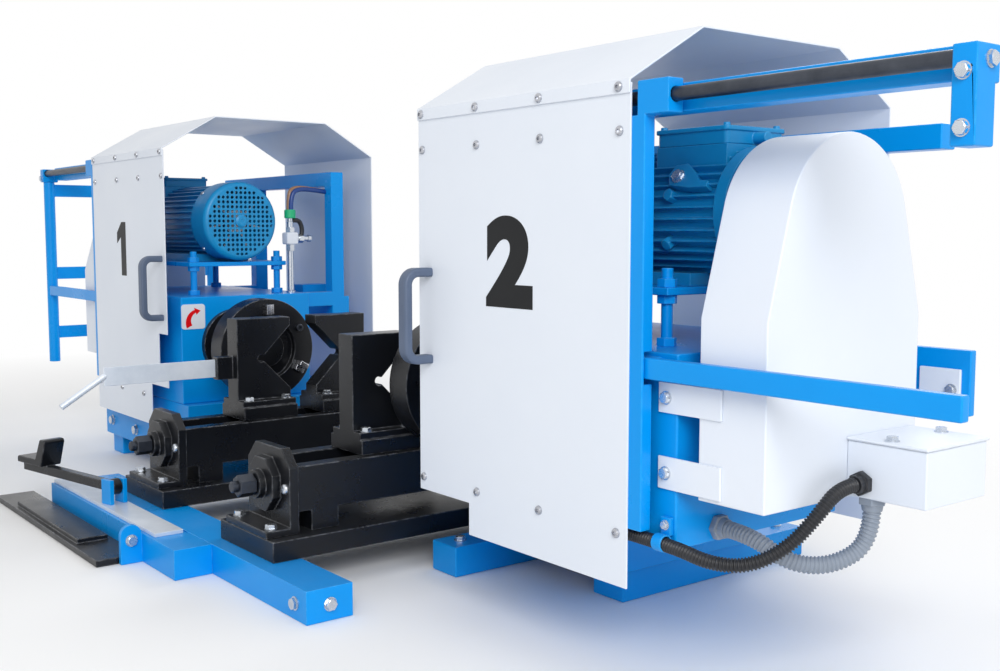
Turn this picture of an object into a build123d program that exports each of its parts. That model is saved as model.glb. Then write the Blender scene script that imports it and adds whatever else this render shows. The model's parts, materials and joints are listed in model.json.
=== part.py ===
from build123d import *
import math
import os

# Twin head boring machine. Two spindle heads face each other along X, with two self-centring vee clamps
# between them. Millimetres, +Z up, operator at -Y, spindle axis over Y = 0.
# Head B is at +X and head A at -X. A head's pieces are drawn at +X, and head A gets their mirror images.

# clearances
RUN_FIT = 0.05
SLIDE_GAP = 0.3
HOLE_GAP = 1.0

# floor frame
HALF_DEPTH = 600.0
RAIL_H = 60.0
RAIL_W = 92.0
RAIL_Y = 386.0
RAIL_B_END = 600.0
SLED_W = 80.0
BASE_TOP = 215.0
BASE_BACK = 420.0
BASE_WALL = 12.0
BASE_A_FRONT = -150.0
SLED_A_FRONT = -130.0
BASE_B = (453.0, 860.0)
BASE_B_FRONT = 60.0
SLED_B_OUTER = 845.0
SLED_B_FRONTS = (-69.0, 81.0)

# column and spindle
AXIS_Z = 370.0
COLUMN_IN = 592.0
COLUMN_OUT = 1190.0
BASE_A = (COLUMN_IN - 32.0, COLUMN_OUT)
COLUMN_FRONT = -150.0
COLUMN_BACK = 230.0
COLUMN_TOP = 500.0
COLUMN_WALL = 12.0
HOUSING_R = 70.0
HOUSING_BORE = 42.0
HOUSING_NOSE = 32.0
HOUSING_TAIL = 10.0
HOUSING_IN = COLUMN_IN - HOUSING_NOSE
HOUSING_OUT = COLUMN_OUT + HOUSING_TAIL
HOUSING_FLANGE_R = 95.0
HOUSING_FLANGE_T = 20.0
BEARING_R = 55.0
BEARING_W = 22.0
SPINDLE_R = 30.0
HEAD_FACE = 393.0
HEAD_BACK = 455.0
HEAD_R = 130.0
HEAD_DISH_R = 78.0
HEAD_DISH = 16.0
HEAD_NOSE_R = 46.0
CUTTERS = 3
CUTTER_R = 90.0
CUTTER_SIZE = 26.0
CUTTER_LENGTH = 26.0

# belt guard and junction box
BG_GAP = 41.0
BG_W = 118.0
BG_IN = COLUMN_OUT + BG_GAP
BG_OUT = BG_IN + BG_W
BG_BACK = 200.0
BG_BOTTOM = 296.0
BG_CREASE = 554.0
BG_TOP = 812.0
BG_DOME_R = 136.0
BG_WALL = 3.0
STRAP_LAP = 34.0
STRAP_REACH = 44.0
STRAP_X = (COLUMN_OUT - STRAP_LAP, BG_IN + STRAP_REACH)
STRAP_T = 4.0
STRAP_LEVELS = ((302.0, 350.0), (414.0, 458.0))
STRAP_BOLT_R = 8.0
STRAP_BOLT_H = 6.0
STRAP_BOLT_INSET = 16.0
JBOX_L = 126.0
JBOX_Y = (30.0, 180.0)
JBOX_Z = 300.0
JBOX_H = 80.0
JBOX_WALL = 3.0
JBOX_LID_T = 5.0
JBOX_LID_RIM = 3.0
JBOX_SCREW_R = 6.0
JBOX_SCREW_H = 4.0
JBOX_SCREW_INSET = 14.0

# belt drive
PULLEY_INSET = 27.0
PULLEY_W = 56.0
PULLEY_IN = BG_IN + PULLEY_INSET
SPINDLE_SPARE = 14.0
SPINDLE_END = PULLEY_IN + PULLEY_W + SPINDLE_SPARE
GROOVES = 2
GROOVE_W = 17.0
GROOVE_DEPTH = 10.0
SPINDLE_PULLEY_R = 63.0
MOTOR_PULLEY_R = 50.0
BELT_T = 8.0

# motor
MOTOR_Y = 50.0
MOTOR_Z = 702.0
MOTOR_SEAT_Z = 590.0
MOTOR_SETBACK = 5.0
MOTOR_L = 455.0
MOTOR_OUT = COLUMN_OUT - MOTOR_SETBACK
MOTOR_IN = MOTOR_OUT - MOTOR_L
MOTOR_BODY_R = 90.0
FIN_R = 102.0
FIN_T = 3.0
FINS = 36
SHIELD_T = 22.0
MOTOR_SHAFT_R = 19.0
FOOT_HALF = 80.0
FOOT_T = 20.0
FOOT_X = (MOTOR_IN + 40.0, MOTOR_OUT - 85.0)
COWL_L = 90.0
COWL_IN = MOTOR_IN - COWL_L
COWL_R = 108.0
COWL_WALL = 3.0
COWL_EDGE_R = 14.0
COWL_EYE_R = 60.0
COWL_HOLE_R = 4.5
COWL_PITCH = 13.0
COWL_GRID_R = 92.0
FAN_X = (COWL_IN + 38.0, COWL_IN + 66.0)
FAN_R = 92.0
FAN_HUB_R = 34.0
FAN_BLADES = 7
FAN_BLADE_T = 4.0
TBOX_X = (MOTOR_OUT - 173.0, MOTOR_OUT - 28.0)
TBOX_HALF = 66.0
TBOX_Z = 806.0
TBOX_H = 20.0
TBOX_LID_T = 7.0
TBOX_LID_RIM = 3.0
TBOX_CORNER_R = 8.0
TBOX_BOLT_INSET = 11.0
TBOX_BOLT_R = 6.0
TBOX_BOLT_H = 5.0
TBOX_GLAND_R = 9.0
TBOX_GLAND_L = 24.0

# motor plate and its adjusting studs
PLATE_X = (MOTOR_IN - 70.0, MOTOR_OUT - 70.0)
PLATE_HALF = 145.0
PLATE_T = 12.0
STUD_R = 9.0
STUD_INSET = 20.0
STUD_SPARE = 16.0
NUT_R = 16.0
NUT_H = 13.0

# sliding guard
G_IN = 592.0
G_OUT = COLUMN_OUT - 60.0
G_FRONT = -190.0
G_BACK = 442.0
G_BOTTOM = 150.0
G_LIP_H = 20.0
G_FOLD = 890.0
G_ROOF = 979.0
G_SLANT = 152.0
SHEET = 3.0
PANEL_TOP_GAP = 5.0
NOTCH_B = ((149.0, 150.0, 206.0),)
NOTCH_A = ((118.0, 150.0, 262.0), (58.0, 291.0, 403.0))
SCREW_X = (G_IN + 13.0, G_IN + 173.0, G_OUT - 200.0, G_OUT - 22.0)
SCREW_LEVELS = (880.0, 818.0, 230.0)
SCREW_R = 7.0
SCREW_H = 4.5
HANDLE_X = G_IN + 30.0
HANDLE_Z = (434.0, 615.0)
HANDLE_OUT = 58.0
HANDLE_W = 26.0
HANDLE_T = 16.0
HANDLE_EDGE = 5.0
HANDLE_BEND = 22.0

# fixed rails of the guard
TUBE = 40.0
BEAM_Z = 841.0
BEAM_REACH = 271.0
BEAM_END = BG_OUT + BEAM_REACH
FRONT_POST_SETBACK = (210.0, 155.0)
FRONT_IN = COLUMN_IN + FRONT_POST_SETBACK[0]
FRONT_OUT = COLUMN_OUT - FRONT_POST_SETBACK[1]
REAR_BEAM_Y = 310.0
REAR_BEAM_Z = 803.0
REAR_POST_SETBACK = (8.0, 105.0)
FRAME_IN = COLUMN_IN + REAR_POST_SETBACK[0]
FRAME_OUT = COLUMN_OUT - REAR_POST_SETBACK[1]
REAR_BEAM_SHORT = 40.0
REAR_BEAM_END = BG_OUT - REAR_BEAM_SHORT
REAR_POST_BOTTOM = 395.0
TIE_Z = 460.0
ROD_R = 10.0
ROD_Y = -172.0
ROD_Z = 863.0
ROD_SEAT = 10.0
LUG_T = 20.0
LUG_HALF = 17.0
END_L = 30.0
END_DEPTH = 48.0
END_Z = (835.0, 877.0)
HANGER_DROP = 69.0
END_BOLT_R = 8.0
END_BOLT_RISE = 12.0
HANGER_BOLT_RISE = 20.0
END_BOLT_H = 6.0
BAR_T = 16.0
BAR_Z = (463.0, 494.0)
BAR_IN = FRONT_IN + 20.0
BAR_B_END = BEAM_END + 23.0
BAR_SPACER_X = (FRONT_IN + TUBE, FRAME_OUT + 35.0)
REAR_BAR_Z = (380.0, 486.0)

# what the guard slides on
SLIDER_L = 60.0
SLIDER_Z = (838.0, 886.0)
SLIDER_BACK = -157.0
SLIDER_OUT = G_OUT + 10.0
SLIDER_INSET = 260.0
SLIDER_IN = G_IN + SLIDER_INSET
POST_X = (G_OUT - 5.0, G_OUT + 25.0)
POST_T = 5.0
POST_BACK = -166.0
POST_BOTTOM = 240.0
POST_WINDOW_GAP = 8.0
POST_BAR_GAP = 2.0
SHOE_H = 24.0

# end gate of head A
GATE_X = BEAM_END + 13.0
GATE_R = 17.0
GATE_Y = -165.0
GATE_BACK = 400.0
GATE_BOTTOM = 240.0
GATE_BARS = (318.0, 515.0, 788.0)
GATE_BAR_H = 40.0
GATE_BAR_T = 8.0

# clamps
CLAMP_B_X = 300.0
CLAMP_A_X = -230.0
CLAMP_BASE_HALF = 115.0
CLAMP_BASE_Y = 400.0
CLAMP_BASE_T = 40.0
BED_HALF = 80.0
BED_Y = 330.0
BED_Z = (140.0, 228.0)
BED_SLOT_HALF = 45.0
BED_FLOOR = 10.0
BED_BAR_Y = (240.0, 300.0)
BRACKET_T = 20.0
BRACKET_HALF = 88.0
BRACKET_TOP = 262.0
BRACKET_CORNER = 34.0
BRACKET_FOOT_T = 14.0
BRACKET_PLATE_R = 56.0
BRACKET_PLATE_T = 18.0
BRACKET_HUB_R = 28.0
BRACKET_HUB_L = 14.0
CS_Z = 188.0
CS_R = 12.0
CS_HEX_R = 22.0
CS_HEX_L = 34.0
CS_TIP_R = 11.0
CS_TIP_L = 12.0
HELD_R = 79.0
JAW_HALF = 27.0
JAW_Y = (35.0, 175.0)
JAW_TOP = 467.0
CARRIAGE_HALF = 62.0
CARRIAGE_T = 30.0
JAW_FLANGE_T = 14.0
JAW_FLANGE_HALF = 54.0
JAW_RELIEF_R = 9.0
NUT_BLOCK_Y = (80.0, 140.0)
JAW_BOLT_R = 9.0
JAW_BOLT_H = 8.0
JAW_BOLT_X = 42.0
JAW_BOLT_INSET = 22.0

# pull bar on the front jaw of clamp A
PULL_X = -240.0
PULL_Z = 350.0
PULL_H = 42.0
PULL_T = 6.0
PULL_SOCKET = (26.0, 54.0, 40.0)
PULL_END = -480.0
PULL_ROD_R = 7.0
PULL_ROD_TIP = (-575.0, 290.0)

# treadle beam, pedal plate and foot lever
TREADLE_X = (-550.0, 215.0)
TREADLE_FRONT = -510.0
TREADLE_GAP = 4.0
KNUCKLE_L = 115.0
STRIP_T = 8.0
STRIP_INSET = 7.0
PEDAL_PLATE_X = (-700.0, 34.0)
PEDAL_PLATE_T = 14.0
PEDAL_PAD_X = (-560.0, -120.0)
PEDAL_PAD_T = 10.0
PEDAL_PAD_INSET = 12.0
PIVOT_W = 44.0
PIVOT_T = 12.0
PIVOT_H = 80.0
PIVOT_GAP = 2.0
PIVOT_BOLT_Z = 48.0
LEVER_AT = (-215.0, -472.0, 105.0)
LEVER_TURN = 12.0
LEVER_L = 385.0
LEVER_H = 22.0
LEVER_T = 22.0
LEVER_EYE_R = 18.0
LEVER_PIN_R = 8.0
LEVER_EAR_T = 10.0
LEVER_EAR_HALF = 18.0
TREAD_L = 110.0
TREAD_HALF = 26.0
TREAD_T = 16.0
TREAD_EDGE_R = 7.0
HORN_T = 26.0
HORN_H = 66.0
HORN_LEAN = 24.0

# bolts of the floor frame
BOLT_R = 11.0
BOLT_H = 9.0
BOLT_INSET = 20.0

# conduits of head B, routes in X from the column's outer face
GLAND_SPARE = 5.0
GLAND_L = 14.0
GLAND_BLOCK = 30.0
BLACK_R = 10.0
BLACK_ROOT = 8.4
BLACK_BORE = 6.5
BLACK_PITCH = 5.0
GREY_R = 12.5
GREY_ROOT = 11.2
GREY_BORE = 9.0
GREY_PITCH = 6.0
BLACK_ROUTE = ((-126, -165, 226), (10, -165, 226), (72, -160, 214), (122, -134, 216), (158, -96, 244),
               (180, -62, 288), (186, -26, 322), (186, 16, 322))
GREY_ROUTE = ((14, -60, 236), (64, -60, 236), (116, -40, 202), (158, 6, 200), (189, 50, 234), (189, 50, 286))
RUN_SHARE = 0.45
RIB_RISE = 0.2
RIB_FALL = 0.6
RIB_END = 0.8
RIB_ACROSS = (0.5, -0.6, 0.62)

parts = {}


def block(x0, x1, y0, y1, z0, z1):
    """A box between two corners."""
    return Pos((x0 + x1) / 2, (y0 + y1) / 2, (z0 + z1) / 2) * Box(abs(x1 - x0), abs(y1 - y0), abs(z1 - z0))


def bar_x(x0, x1, y, z, radius):
    """A round bar along X."""
    return Pos((x0 + x1) / 2, y, z) * Rot(0, 90, 0) * Cylinder(radius, abs(x1 - x0))


def bar_y(y0, y1, x, z, radius):
    """A round bar along Y."""
    return Pos(x, (y0 + y1) / 2, z) * Rot(90, 0, 0) * Cylinder(radius, abs(y1 - y0))


def bar_z(z0, z1, x, y, radius):
    """A round bar along Z."""
    return Pos(x, y, (z0 + z1) / 2) * Cylinder(radius, abs(z1 - z0))


def hex_z(z0, z1, x, y, radius):
    """A hexagon bolt head or nut along Z."""
    return Pos(x, y, z0) * extrude(RegularPolygon(radius, 6), z1 - z0)


def plate_x(outline, x0, x1):
    """A face drawn in Y and Z, made a plate along X."""
    face = Plane((x0, 0, 0), x_dir=(0, 1, 0), z_dir=(1, 0, 0)) * outline
    return extrude(face, x1 - x0, dir=(1, 0, 0))


def plate_y(points, y0, y1):
    """A closed outline in X and Z, made a plate along Y."""
    face = make_face(Polyline(*[(x, y0, z) for x, z in points], close=True))
    return extrude(face, y1 - y0, dir=(0, 1, 0))


def outline(points):
    return make_face(Polyline(*points, close=True))


def inset(points, t):
    """An open outline moved to its right-hand side by t, with mitred corners."""
    moved = []
    for i, (y, z) in enumerate(points):
        sides = []
        for a, b in ((i - 1, i), (i, i + 1)):
            if a >= 0 and b < len(points):
                dy = points[b][0] - points[a][0]
                dz = points[b][1] - points[a][1]
                size = math.hypot(dy, dz)
                sides.append((dz / size, -dy / size))
        ny = sum(s[0] for s in sides) / len(sides)
        nz = sum(s[1] for s in sides) / len(sides)
        scale = t / (ny * ny + nz * nz)
        moved.append((y + ny * scale, z + nz * scale))
    return moved


def group(solids):
    return Compound(children=list(solids))


def mirrored(part):
    return mirror(part, about=Plane.YZ)


def both(name, make):
    """Keep a piece of head B and its mirror image on head A."""
    parts[name + "_b"] = make()
    parts[name + "_a"] = mirrored(make())


def pairs(make):
    """The solids of both heads in one group."""
    return group([*make(), *[mirrored(solid) for solid in make()]])


# floor frame
def base(x0, x1, front, sleds):
    box = block(x0, x1, front, BASE_BACK, RAIL_H, BASE_TOP)
    box -= block(x0 + BASE_WALL, x1 - BASE_WALL, front + BASE_WALL, BASE_BACK - BASE_WALL, RAIL_H,
                 BASE_TOP - BASE_WALL)
    for outer, sled_front in sleds:
        box += block(outer - SLED_W, outer, sled_front, HALF_DEPTH, 0, RAIL_H)
    return box


def base_a():
    sleds = [(BASE_A[0] + SLED_W, SLED_A_FRONT), (BASE_A[1], SLED_A_FRONT)]
    return mirrored(base(*BASE_A, BASE_A_FRONT, sleds))


def base_b():
    sleds = [(BASE_B[0] + SLED_W, SLED_B_FRONTS[0]), (SLED_B_OUTER, SLED_B_FRONTS[1])]
    return base(*BASE_B, BASE_B_FRONT, sleds)


def lever_place():
    return Pos(*LEVER_AT) * Rot(0, 0, LEVER_TURN)


def floor_rails():
    rail_front = -RAIL_Y - RAIL_W / 2
    front = block(-BASE_A[0], RAIL_B_END, rail_front, rail_front + RAIL_W, 0, RAIL_H)
    rear = block(-BASE_A[0], BASE_B[0], RAIL_Y - RAIL_W / 2, RAIL_Y + RAIL_W / 2, 0, RAIL_H)
    x0, x1 = TREADLE_X
    beam = block(x0, x1, TREADLE_FRONT, rail_front - TREADLE_GAP, 0, RAIL_H)
    beam += block(x1 - KNUCKLE_L, x1, rail_front - TREADLE_GAP, rail_front, 0, RAIL_H)
    beam += pivot_bracket()
    return group([front, rear, beam, lever_place() * lever_ears()])


def pivot_bracket():
    """Round-topped plate at the end of the pedal plate, welded to the treadle beam."""
    x0 = PEDAL_PLATE_X[1] + PIVOT_GAP
    top = PIVOT_H - PIVOT_W / 2
    plate = block(x0, x0 + PIVOT_T, TREADLE_FRONT - PIVOT_W, TREADLE_FRONT, 0, top)
    return plate + bar_x(x0, x0 + PIVOT_T, TREADLE_FRONT - PIVOT_W / 2, top, PIVOT_W / 2)


def treadle_strip():
    x0, x1 = TREADLE_X
    back = -RAIL_Y - RAIL_W / 2 - TREADLE_GAP
    return block(x0, x1 - KNUCKLE_L, TREADLE_FRONT + STRIP_INSET, back - STRIP_INSET, RAIL_H,
                 RAIL_H + STRIP_T)


def pedal_plate():
    x0, x1 = PEDAL_PLATE_X
    plate = block(x0, x1, -HALF_DEPTH, TREADLE_FRONT, 0, PEDAL_PLATE_T)
    pad = block(*PEDAL_PAD_X, PEDAL_PAD_INSET - HALF_DEPTH, TREADLE_FRONT - PEDAL_PAD_INSET, PEDAL_PLATE_T,
                PEDAL_PLATE_T + PEDAL_PAD_T)
    return plate + pad


def lever_ears():
    """Clevis of the foot lever and its pin, in the lever's own place, standing on the bright strip."""
    drop = RAIL_H + STRIP_T - LEVER_AT[2]
    inner = LEVER_T / 2 + SLIDE_GAP
    ears = bar_y(-inner, inner, 0, 0, LEVER_PIN_R)
    for s in (-1, 1):
        ears += block(-LEVER_EAR_HALF, LEVER_EAR_HALF, s * inner, s * (inner + LEVER_EAR_T), drop,
                      LEVER_EAR_HALF)
    return ears


def lever_tread():
    """Thick cast tread of the foot lever: a flat sole, and a horn that leans towards the pivot."""
    x0, x1 = -LEVER_L, TREAD_L - LEVER_L
    seat = LEVER_H / 2
    side = [(x0, seat), (x0, seat + TREAD_T), (x1 - HORN_T, seat + TREAD_T),
            (x1 - HORN_T + HORN_LEAN, seat + HORN_H), (x1 + HORN_LEAN, seat + HORN_H), (x1, seat)]
    tread = plate_y(side, -TREAD_HALF, TREAD_HALF)
    upper = [edge for edge in tread.edges().filter_by(Axis.Y) if edge.center().Z > seat + TREAD_T / 2]
    return fillet(upper, TREAD_EDGE_R)


def foot_lever():
    eye = bar_y(-LEVER_T / 2, LEVER_T / 2, 0, 0, LEVER_EYE_R)
    arm = block(-LEVER_L, 0, -LEVER_T / 2, LEVER_T / 2, -LEVER_H / 2, LEVER_H / 2)
    lever = eye + arm + lever_tread() - bar_y(-LEVER_T, LEVER_T, 0, 0, LEVER_PIN_R + RUN_FIT)
    return lever_place() * lever


# spindle head
def column():
    box = block(COLUMN_IN, COLUMN_OUT, COLUMN_FRONT, COLUMN_BACK, BASE_TOP, COLUMN_TOP)
    box -= block(COLUMN_IN + COLUMN_WALL, COLUMN_OUT - COLUMN_WALL, COLUMN_FRONT + COLUMN_WALL,
                 COLUMN_BACK - COLUMN_WALL, BASE_TOP + COLUMN_WALL, COLUMN_TOP - COLUMN_WALL)
    return box - bar_x(COLUMN_IN, COLUMN_OUT, 0, AXIS_Z, HOUSING_R + RUN_FIT)


def spindle_housing():
    tube = bar_x(HOUSING_IN, HOUSING_OUT, 0, AXIS_Z, HOUSING_R)
    tube += bar_x(COLUMN_IN - HOUSING_FLANGE_T, COLUMN_IN, 0, AXIS_Z, HOUSING_FLANGE_R)
    tube -= bar_x(HOUSING_IN, HOUSING_OUT, 0, AXIS_Z, HOUSING_BORE)
    for x in (HOUSING_IN, HOUSING_OUT - BEARING_W):
        tube -= bar_x(x, x + BEARING_W, 0, AXIS_Z, BEARING_R + RUN_FIT)
    return tube


def bearings():
    rings = []
    for x in (HOUSING_IN, HOUSING_OUT - BEARING_W):
        ring = bar_x(x, x + BEARING_W, 0, AXIS_Z, BEARING_R)
        rings.append(ring - bar_x(x, x + BEARING_W, 0, AXIS_Z, SPINDLE_R + RUN_FIT))
    return rings


def spindle():
    return bar_x(HEAD_BACK, SPINDLE_END, 0, AXIS_Z, SPINDLE_R)


def boring_head():
    """The dished disc, and the cutters on its face as solids of their own."""
    disc = bar_x(HEAD_FACE, HEAD_BACK, 0, AXIS_Z, HEAD_R)
    disc -= bar_x(HEAD_FACE, HEAD_FACE + HEAD_DISH, 0, AXIS_Z, HEAD_DISH_R)
    disc += bar_x(HEAD_FACE, HEAD_BACK, 0, AXIS_Z, HEAD_NOSE_R)
    tools = []
    for i in range(CUTTERS):
        tool = block(HEAD_FACE - CUTTER_LENGTH, HEAD_FACE, -CUTTER_SIZE / 2, CUTTER_SIZE / 2, CUTTER_R,
                     CUTTER_R + CUTTER_SIZE)
        tool -= block(HEAD_FACE - CUTTER_LENGTH, HEAD_FACE - CUTTER_LENGTH / 2, 0, CUTTER_SIZE / 2, CUTTER_R,
                      CUTTER_R + CUTTER_SIZE)
        tools.append(Pos(0, 0, AXIS_Z) * Rot(360 * i / CUTTERS, 0, 0) * tool)
    return group([disc, *tools])


def groove_middles():
    return [PULLEY_IN + PULLEY_W * (i + 0.5) / GROOVES for i in range(GROOVES)]


def pulley(z, radius, shaft_r):
    wheel = bar_x(PULLEY_IN, PULLEY_IN + PULLEY_W, 0, z, radius)
    for x in groove_middles():
        ring = bar_x(x - GROOVE_W / 2, x + GROOVE_W / 2, 0, z, radius)
        wheel -= ring - bar_x(x - GROOVE_W / 2, x + GROOVE_W / 2, 0, z, radius - GROOVE_DEPTH)
    return wheel - bar_x(PULLEY_IN, PULLEY_IN + PULLEY_W, 0, z, shaft_r)


def spindle_pulley():
    return pulley(AXIS_Z, SPINDLE_PULLEY_R, SPINDLE_R + RUN_FIT)


def belt_loop(grow):
    """A belt's outline round both pulleys, at a distance from the bottoms of their grooves.

    The spindle is at its origin and the motor straight above it.
    """
    low = SPINDLE_PULLEY_R - GROOVE_DEPTH + grow
    high = MOTOR_PULLEY_R - GROOVE_DEPTH + grow
    span = math.hypot(MOTOR_Y, MOTOR_Z - AXIS_Z)
    lean = math.asin((low - high) / span)
    cos, sin = math.cos(lean), math.sin(lean)
    with BuildLine() as line:
        ThreePointArc((low * cos, low * sin), (0, -low), (-low * cos, low * sin))
        Line((-low * cos, low * sin), (-high * cos, span + high * sin))
        ThreePointArc((-high * cos, span + high * sin), (0, span + high), (high * cos, span + high * sin))
        Line((high * cos, span + high * sin), (low * cos, low * sin))
    return make_face(line.line)


def belts():
    width = GROOVE_W - 2 * SLIDE_GAP
    loop = belt_loop(SLIDE_GAP + BELT_T) - belt_loop(SLIDE_GAP)
    tilt = math.degrees(math.atan2(MOTOR_Y, MOTOR_Z - AXIS_Z))
    place = Pos(0, 0, AXIS_Z) * Rot(-tilt, 0, 0)
    return [place * plate_x(loop, x - width / 2, x + width / 2) for x in groove_middles()]


# motor
def at_motor(part):
    """A part that is drawn over the spindle, moved back to the motor's own axis."""
    return Pos(0, MOTOR_Y, 0) * part


def motor_body():
    body = bar_x(MOTOR_IN, MOTOR_OUT, 0, MOTOR_Z, MOTOR_BODY_R)
    for i in range(FINS):
        fin = block(MOTOR_IN, MOTOR_OUT - SHIELD_T, -FIN_T / 2, FIN_T / 2, MOTOR_BODY_R - FIN_T, FIN_R)
        body += Pos(0, 0, MOTOR_Z) * Rot(360 * (i + 0.5) / FINS, 0, 0) * fin
    body += bar_x(MOTOR_OUT - SHIELD_T, MOTOR_OUT, 0, MOTOR_Z, FIN_R)
    body += block(*TBOX_X, -TBOX_HALF, TBOX_HALF, MOTOR_Z, TBOX_Z)
    body += block(*FOOT_X, -FOOT_HALF, FOOT_HALF, MOTOR_SEAT_Z, MOTOR_SEAT_Z + FOOT_T)
    body += block(*FOOT_X, -FOOT_HALF / 2, FOOT_HALF / 2, MOTOR_SEAT_Z, MOTOR_Z)
    return at_motor(body - bar_x(MOTOR_IN, MOTOR_OUT, 0, MOTOR_Z, MOTOR_SHAFT_R + RUN_FIT))


def cowl_form(x0, x1, radius, edge_r):
    drum = bar_x(x0, x1, 0, MOTOR_Z, radius)
    return fillet(drum.edges().filter_by(GeomType.CIRCLE).sort_by(Axis.X)[0], edge_r)


def fan_cowl():
    cup = cowl_form(COWL_IN, MOTOR_IN, COWL_R, COWL_EDGE_R)
    cup -= cowl_form(COWL_IN + COWL_WALL, MOTOR_IN - COWL_WALL, COWL_R - COWL_WALL, COWL_EDGE_R - COWL_WALL)
    cup -= bar_x(MOTOR_IN - COWL_WALL, MOTOR_IN, 0, MOTOR_Z, COWL_EYE_R)
    steps = range(-int(COWL_GRID_R / COWL_PITCH), int(COWL_GRID_R / COWL_PITCH) + 1)
    places = [(i * COWL_PITCH, j * COWL_PITCH) for i in steps for j in steps]
    with BuildSketch() as grid:
        with Locations(*[p for p in places if math.hypot(*p) < COWL_GRID_R]):
            Circle(COWL_HOLE_R)
    holes = Pos(0, 0, MOTOR_Z) * plate_x(grid.sketch, COWL_IN, COWL_IN + COWL_WALL)
    return at_motor(cup - holes)


def terminal_box():
    body = block(*TBOX_X, -TBOX_HALF, TBOX_HALF, TBOX_Z, TBOX_Z + TBOX_H)
    body = fillet(body.edges().filter_by(Axis.Z), TBOX_CORNER_R)
    x0, x1 = TBOX_X[0] - TBOX_LID_RIM, TBOX_X[1] + TBOX_LID_RIM
    half = TBOX_HALF + TBOX_LID_RIM
    top = TBOX_Z + TBOX_H + TBOX_LID_T
    lid = block(x0, x1, -half, half, TBOX_Z + TBOX_H, top)
    lid = fillet(lid.edges().filter_by(Axis.Z), TBOX_CORNER_R)
    for x in (x0 + TBOX_BOLT_INSET, x1 - TBOX_BOLT_INSET):
        for y in (TBOX_BOLT_INSET - half, half - TBOX_BOLT_INSET):
            lid += hex_z(top, top + TBOX_BOLT_H, x, y, TBOX_BOLT_R)
    gland = bar_x(TBOX_X[1], TBOX_X[1] + TBOX_GLAND_L, 0, TBOX_Z + TBOX_H / 2, TBOX_GLAND_R)
    return at_motor(body + lid + gland)


def motor_shaft():
    shaft = bar_x(FAN_X[0], PULLEY_IN + PULLEY_W, 0, MOTOR_Z, MOTOR_SHAFT_R)
    shaft += bar_x(*FAN_X, 0, MOTOR_Z, FAN_HUB_R)
    for i in range(FAN_BLADES):
        blade = block(*FAN_X, -FAN_BLADE_T / 2, FAN_BLADE_T / 2, MOTOR_SHAFT_R, FAN_R)
        shaft += Pos(0, 0, MOTOR_Z) * Rot(360 * i / FAN_BLADES, 0, 0) * blade
    wheel = pulley(MOTOR_Z, MOTOR_PULLEY_R, MOTOR_SHAFT_R + RUN_FIT)
    return group([at_motor(shaft), at_motor(wheel)])


def stud_places():
    return [(x, y) for x in (PLATE_X[0] + STUD_INSET, PLATE_X[1] - STUD_INSET)
            for y in (MOTOR_Y - PLATE_HALF + STUD_INSET, MOTOR_Y + PLATE_HALF - STUD_INSET)]


def motor_plate():
    plate = block(*PLATE_X, MOTOR_Y - PLATE_HALF, MOTOR_Y + PLATE_HALF, MOTOR_SEAT_Z - PLATE_T, MOTOR_SEAT_Z)
    for x, y in stud_places():
        plate -= bar_z(MOTOR_SEAT_Z - PLATE_T, MOTOR_SEAT_Z, x, y, STUD_R + HOLE_GAP)
    return plate


def studs():
    solids = []
    for x, y in stud_places():
        stud = bar_z(COLUMN_TOP, MOTOR_SEAT_Z + NUT_H + STUD_SPARE, x, y, STUD_R)
        for z in (MOTOR_SEAT_Z - PLATE_T - NUT_H, MOTOR_SEAT_Z):
            stud += hex_z(z, z + NUT_H, x, y, NUT_R)
        solids.append(stud + hex_z(COLUMN_TOP, COLUMN_TOP + NUT_H, x, y, NUT_R))
    return solids


# belt guard and junction box
def dome(t):
    """The belt guard's outline, moved inwards by t: upright sides, slanted shoulders, round top."""
    front, back, bottom = COLUMN_FRONT + t, BG_BACK - t, BG_BOTTOM + t
    mid, top, radius = (COLUMN_FRONT + BG_BACK) / 2, BG_TOP - BG_DOME_R, BG_DOME_R - t
    dy, dz = mid - front, top - BG_CREASE
    turn = math.atan2(dy, dz) - math.pi / 2 + math.acos(radius / math.hypot(dy, dz))
    ty, tz = radius * math.cos(turn), radius * math.sin(turn)
    with BuildLine() as line:
        Polyline((mid - ty, top + tz), (front, BG_CREASE), (front, bottom), (back, bottom), (back, BG_CREASE),
                 (mid + ty, top + tz))
        ThreePointArc((mid + ty, top + tz), (mid, top + radius), (mid - ty, top + tz))
    return make_face(line.line)


def belt_guard():
    shell = plate_x(dome(0), BG_IN, BG_OUT) - plate_x(dome(BG_WALL), BG_IN + BG_WALL, BG_OUT - BG_WALL)
    shell -= bar_x(BG_IN, BG_IN + BG_WALL, 0, AXIS_Z, SPINDLE_R + HOLE_GAP)
    return shell - bar_x(BG_IN, BG_IN + BG_WALL, MOTOR_Y, MOTOR_Z, MOTOR_SHAFT_R + HOLE_GAP)


def straps():
    solids = []
    for z0, z1 in STRAP_LEVELS:
        strap = block(*STRAP_X, COLUMN_FRONT - STRAP_T, COLUMN_FRONT, z0, z1)
        face = COLUMN_FRONT - STRAP_T
        solids.append(strap + bar_y(face - STRAP_BOLT_H, face, STRAP_X[0] + STRAP_BOLT_INSET, (z0 + z1) / 2,
                                    STRAP_BOLT_R))
    return solids


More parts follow.
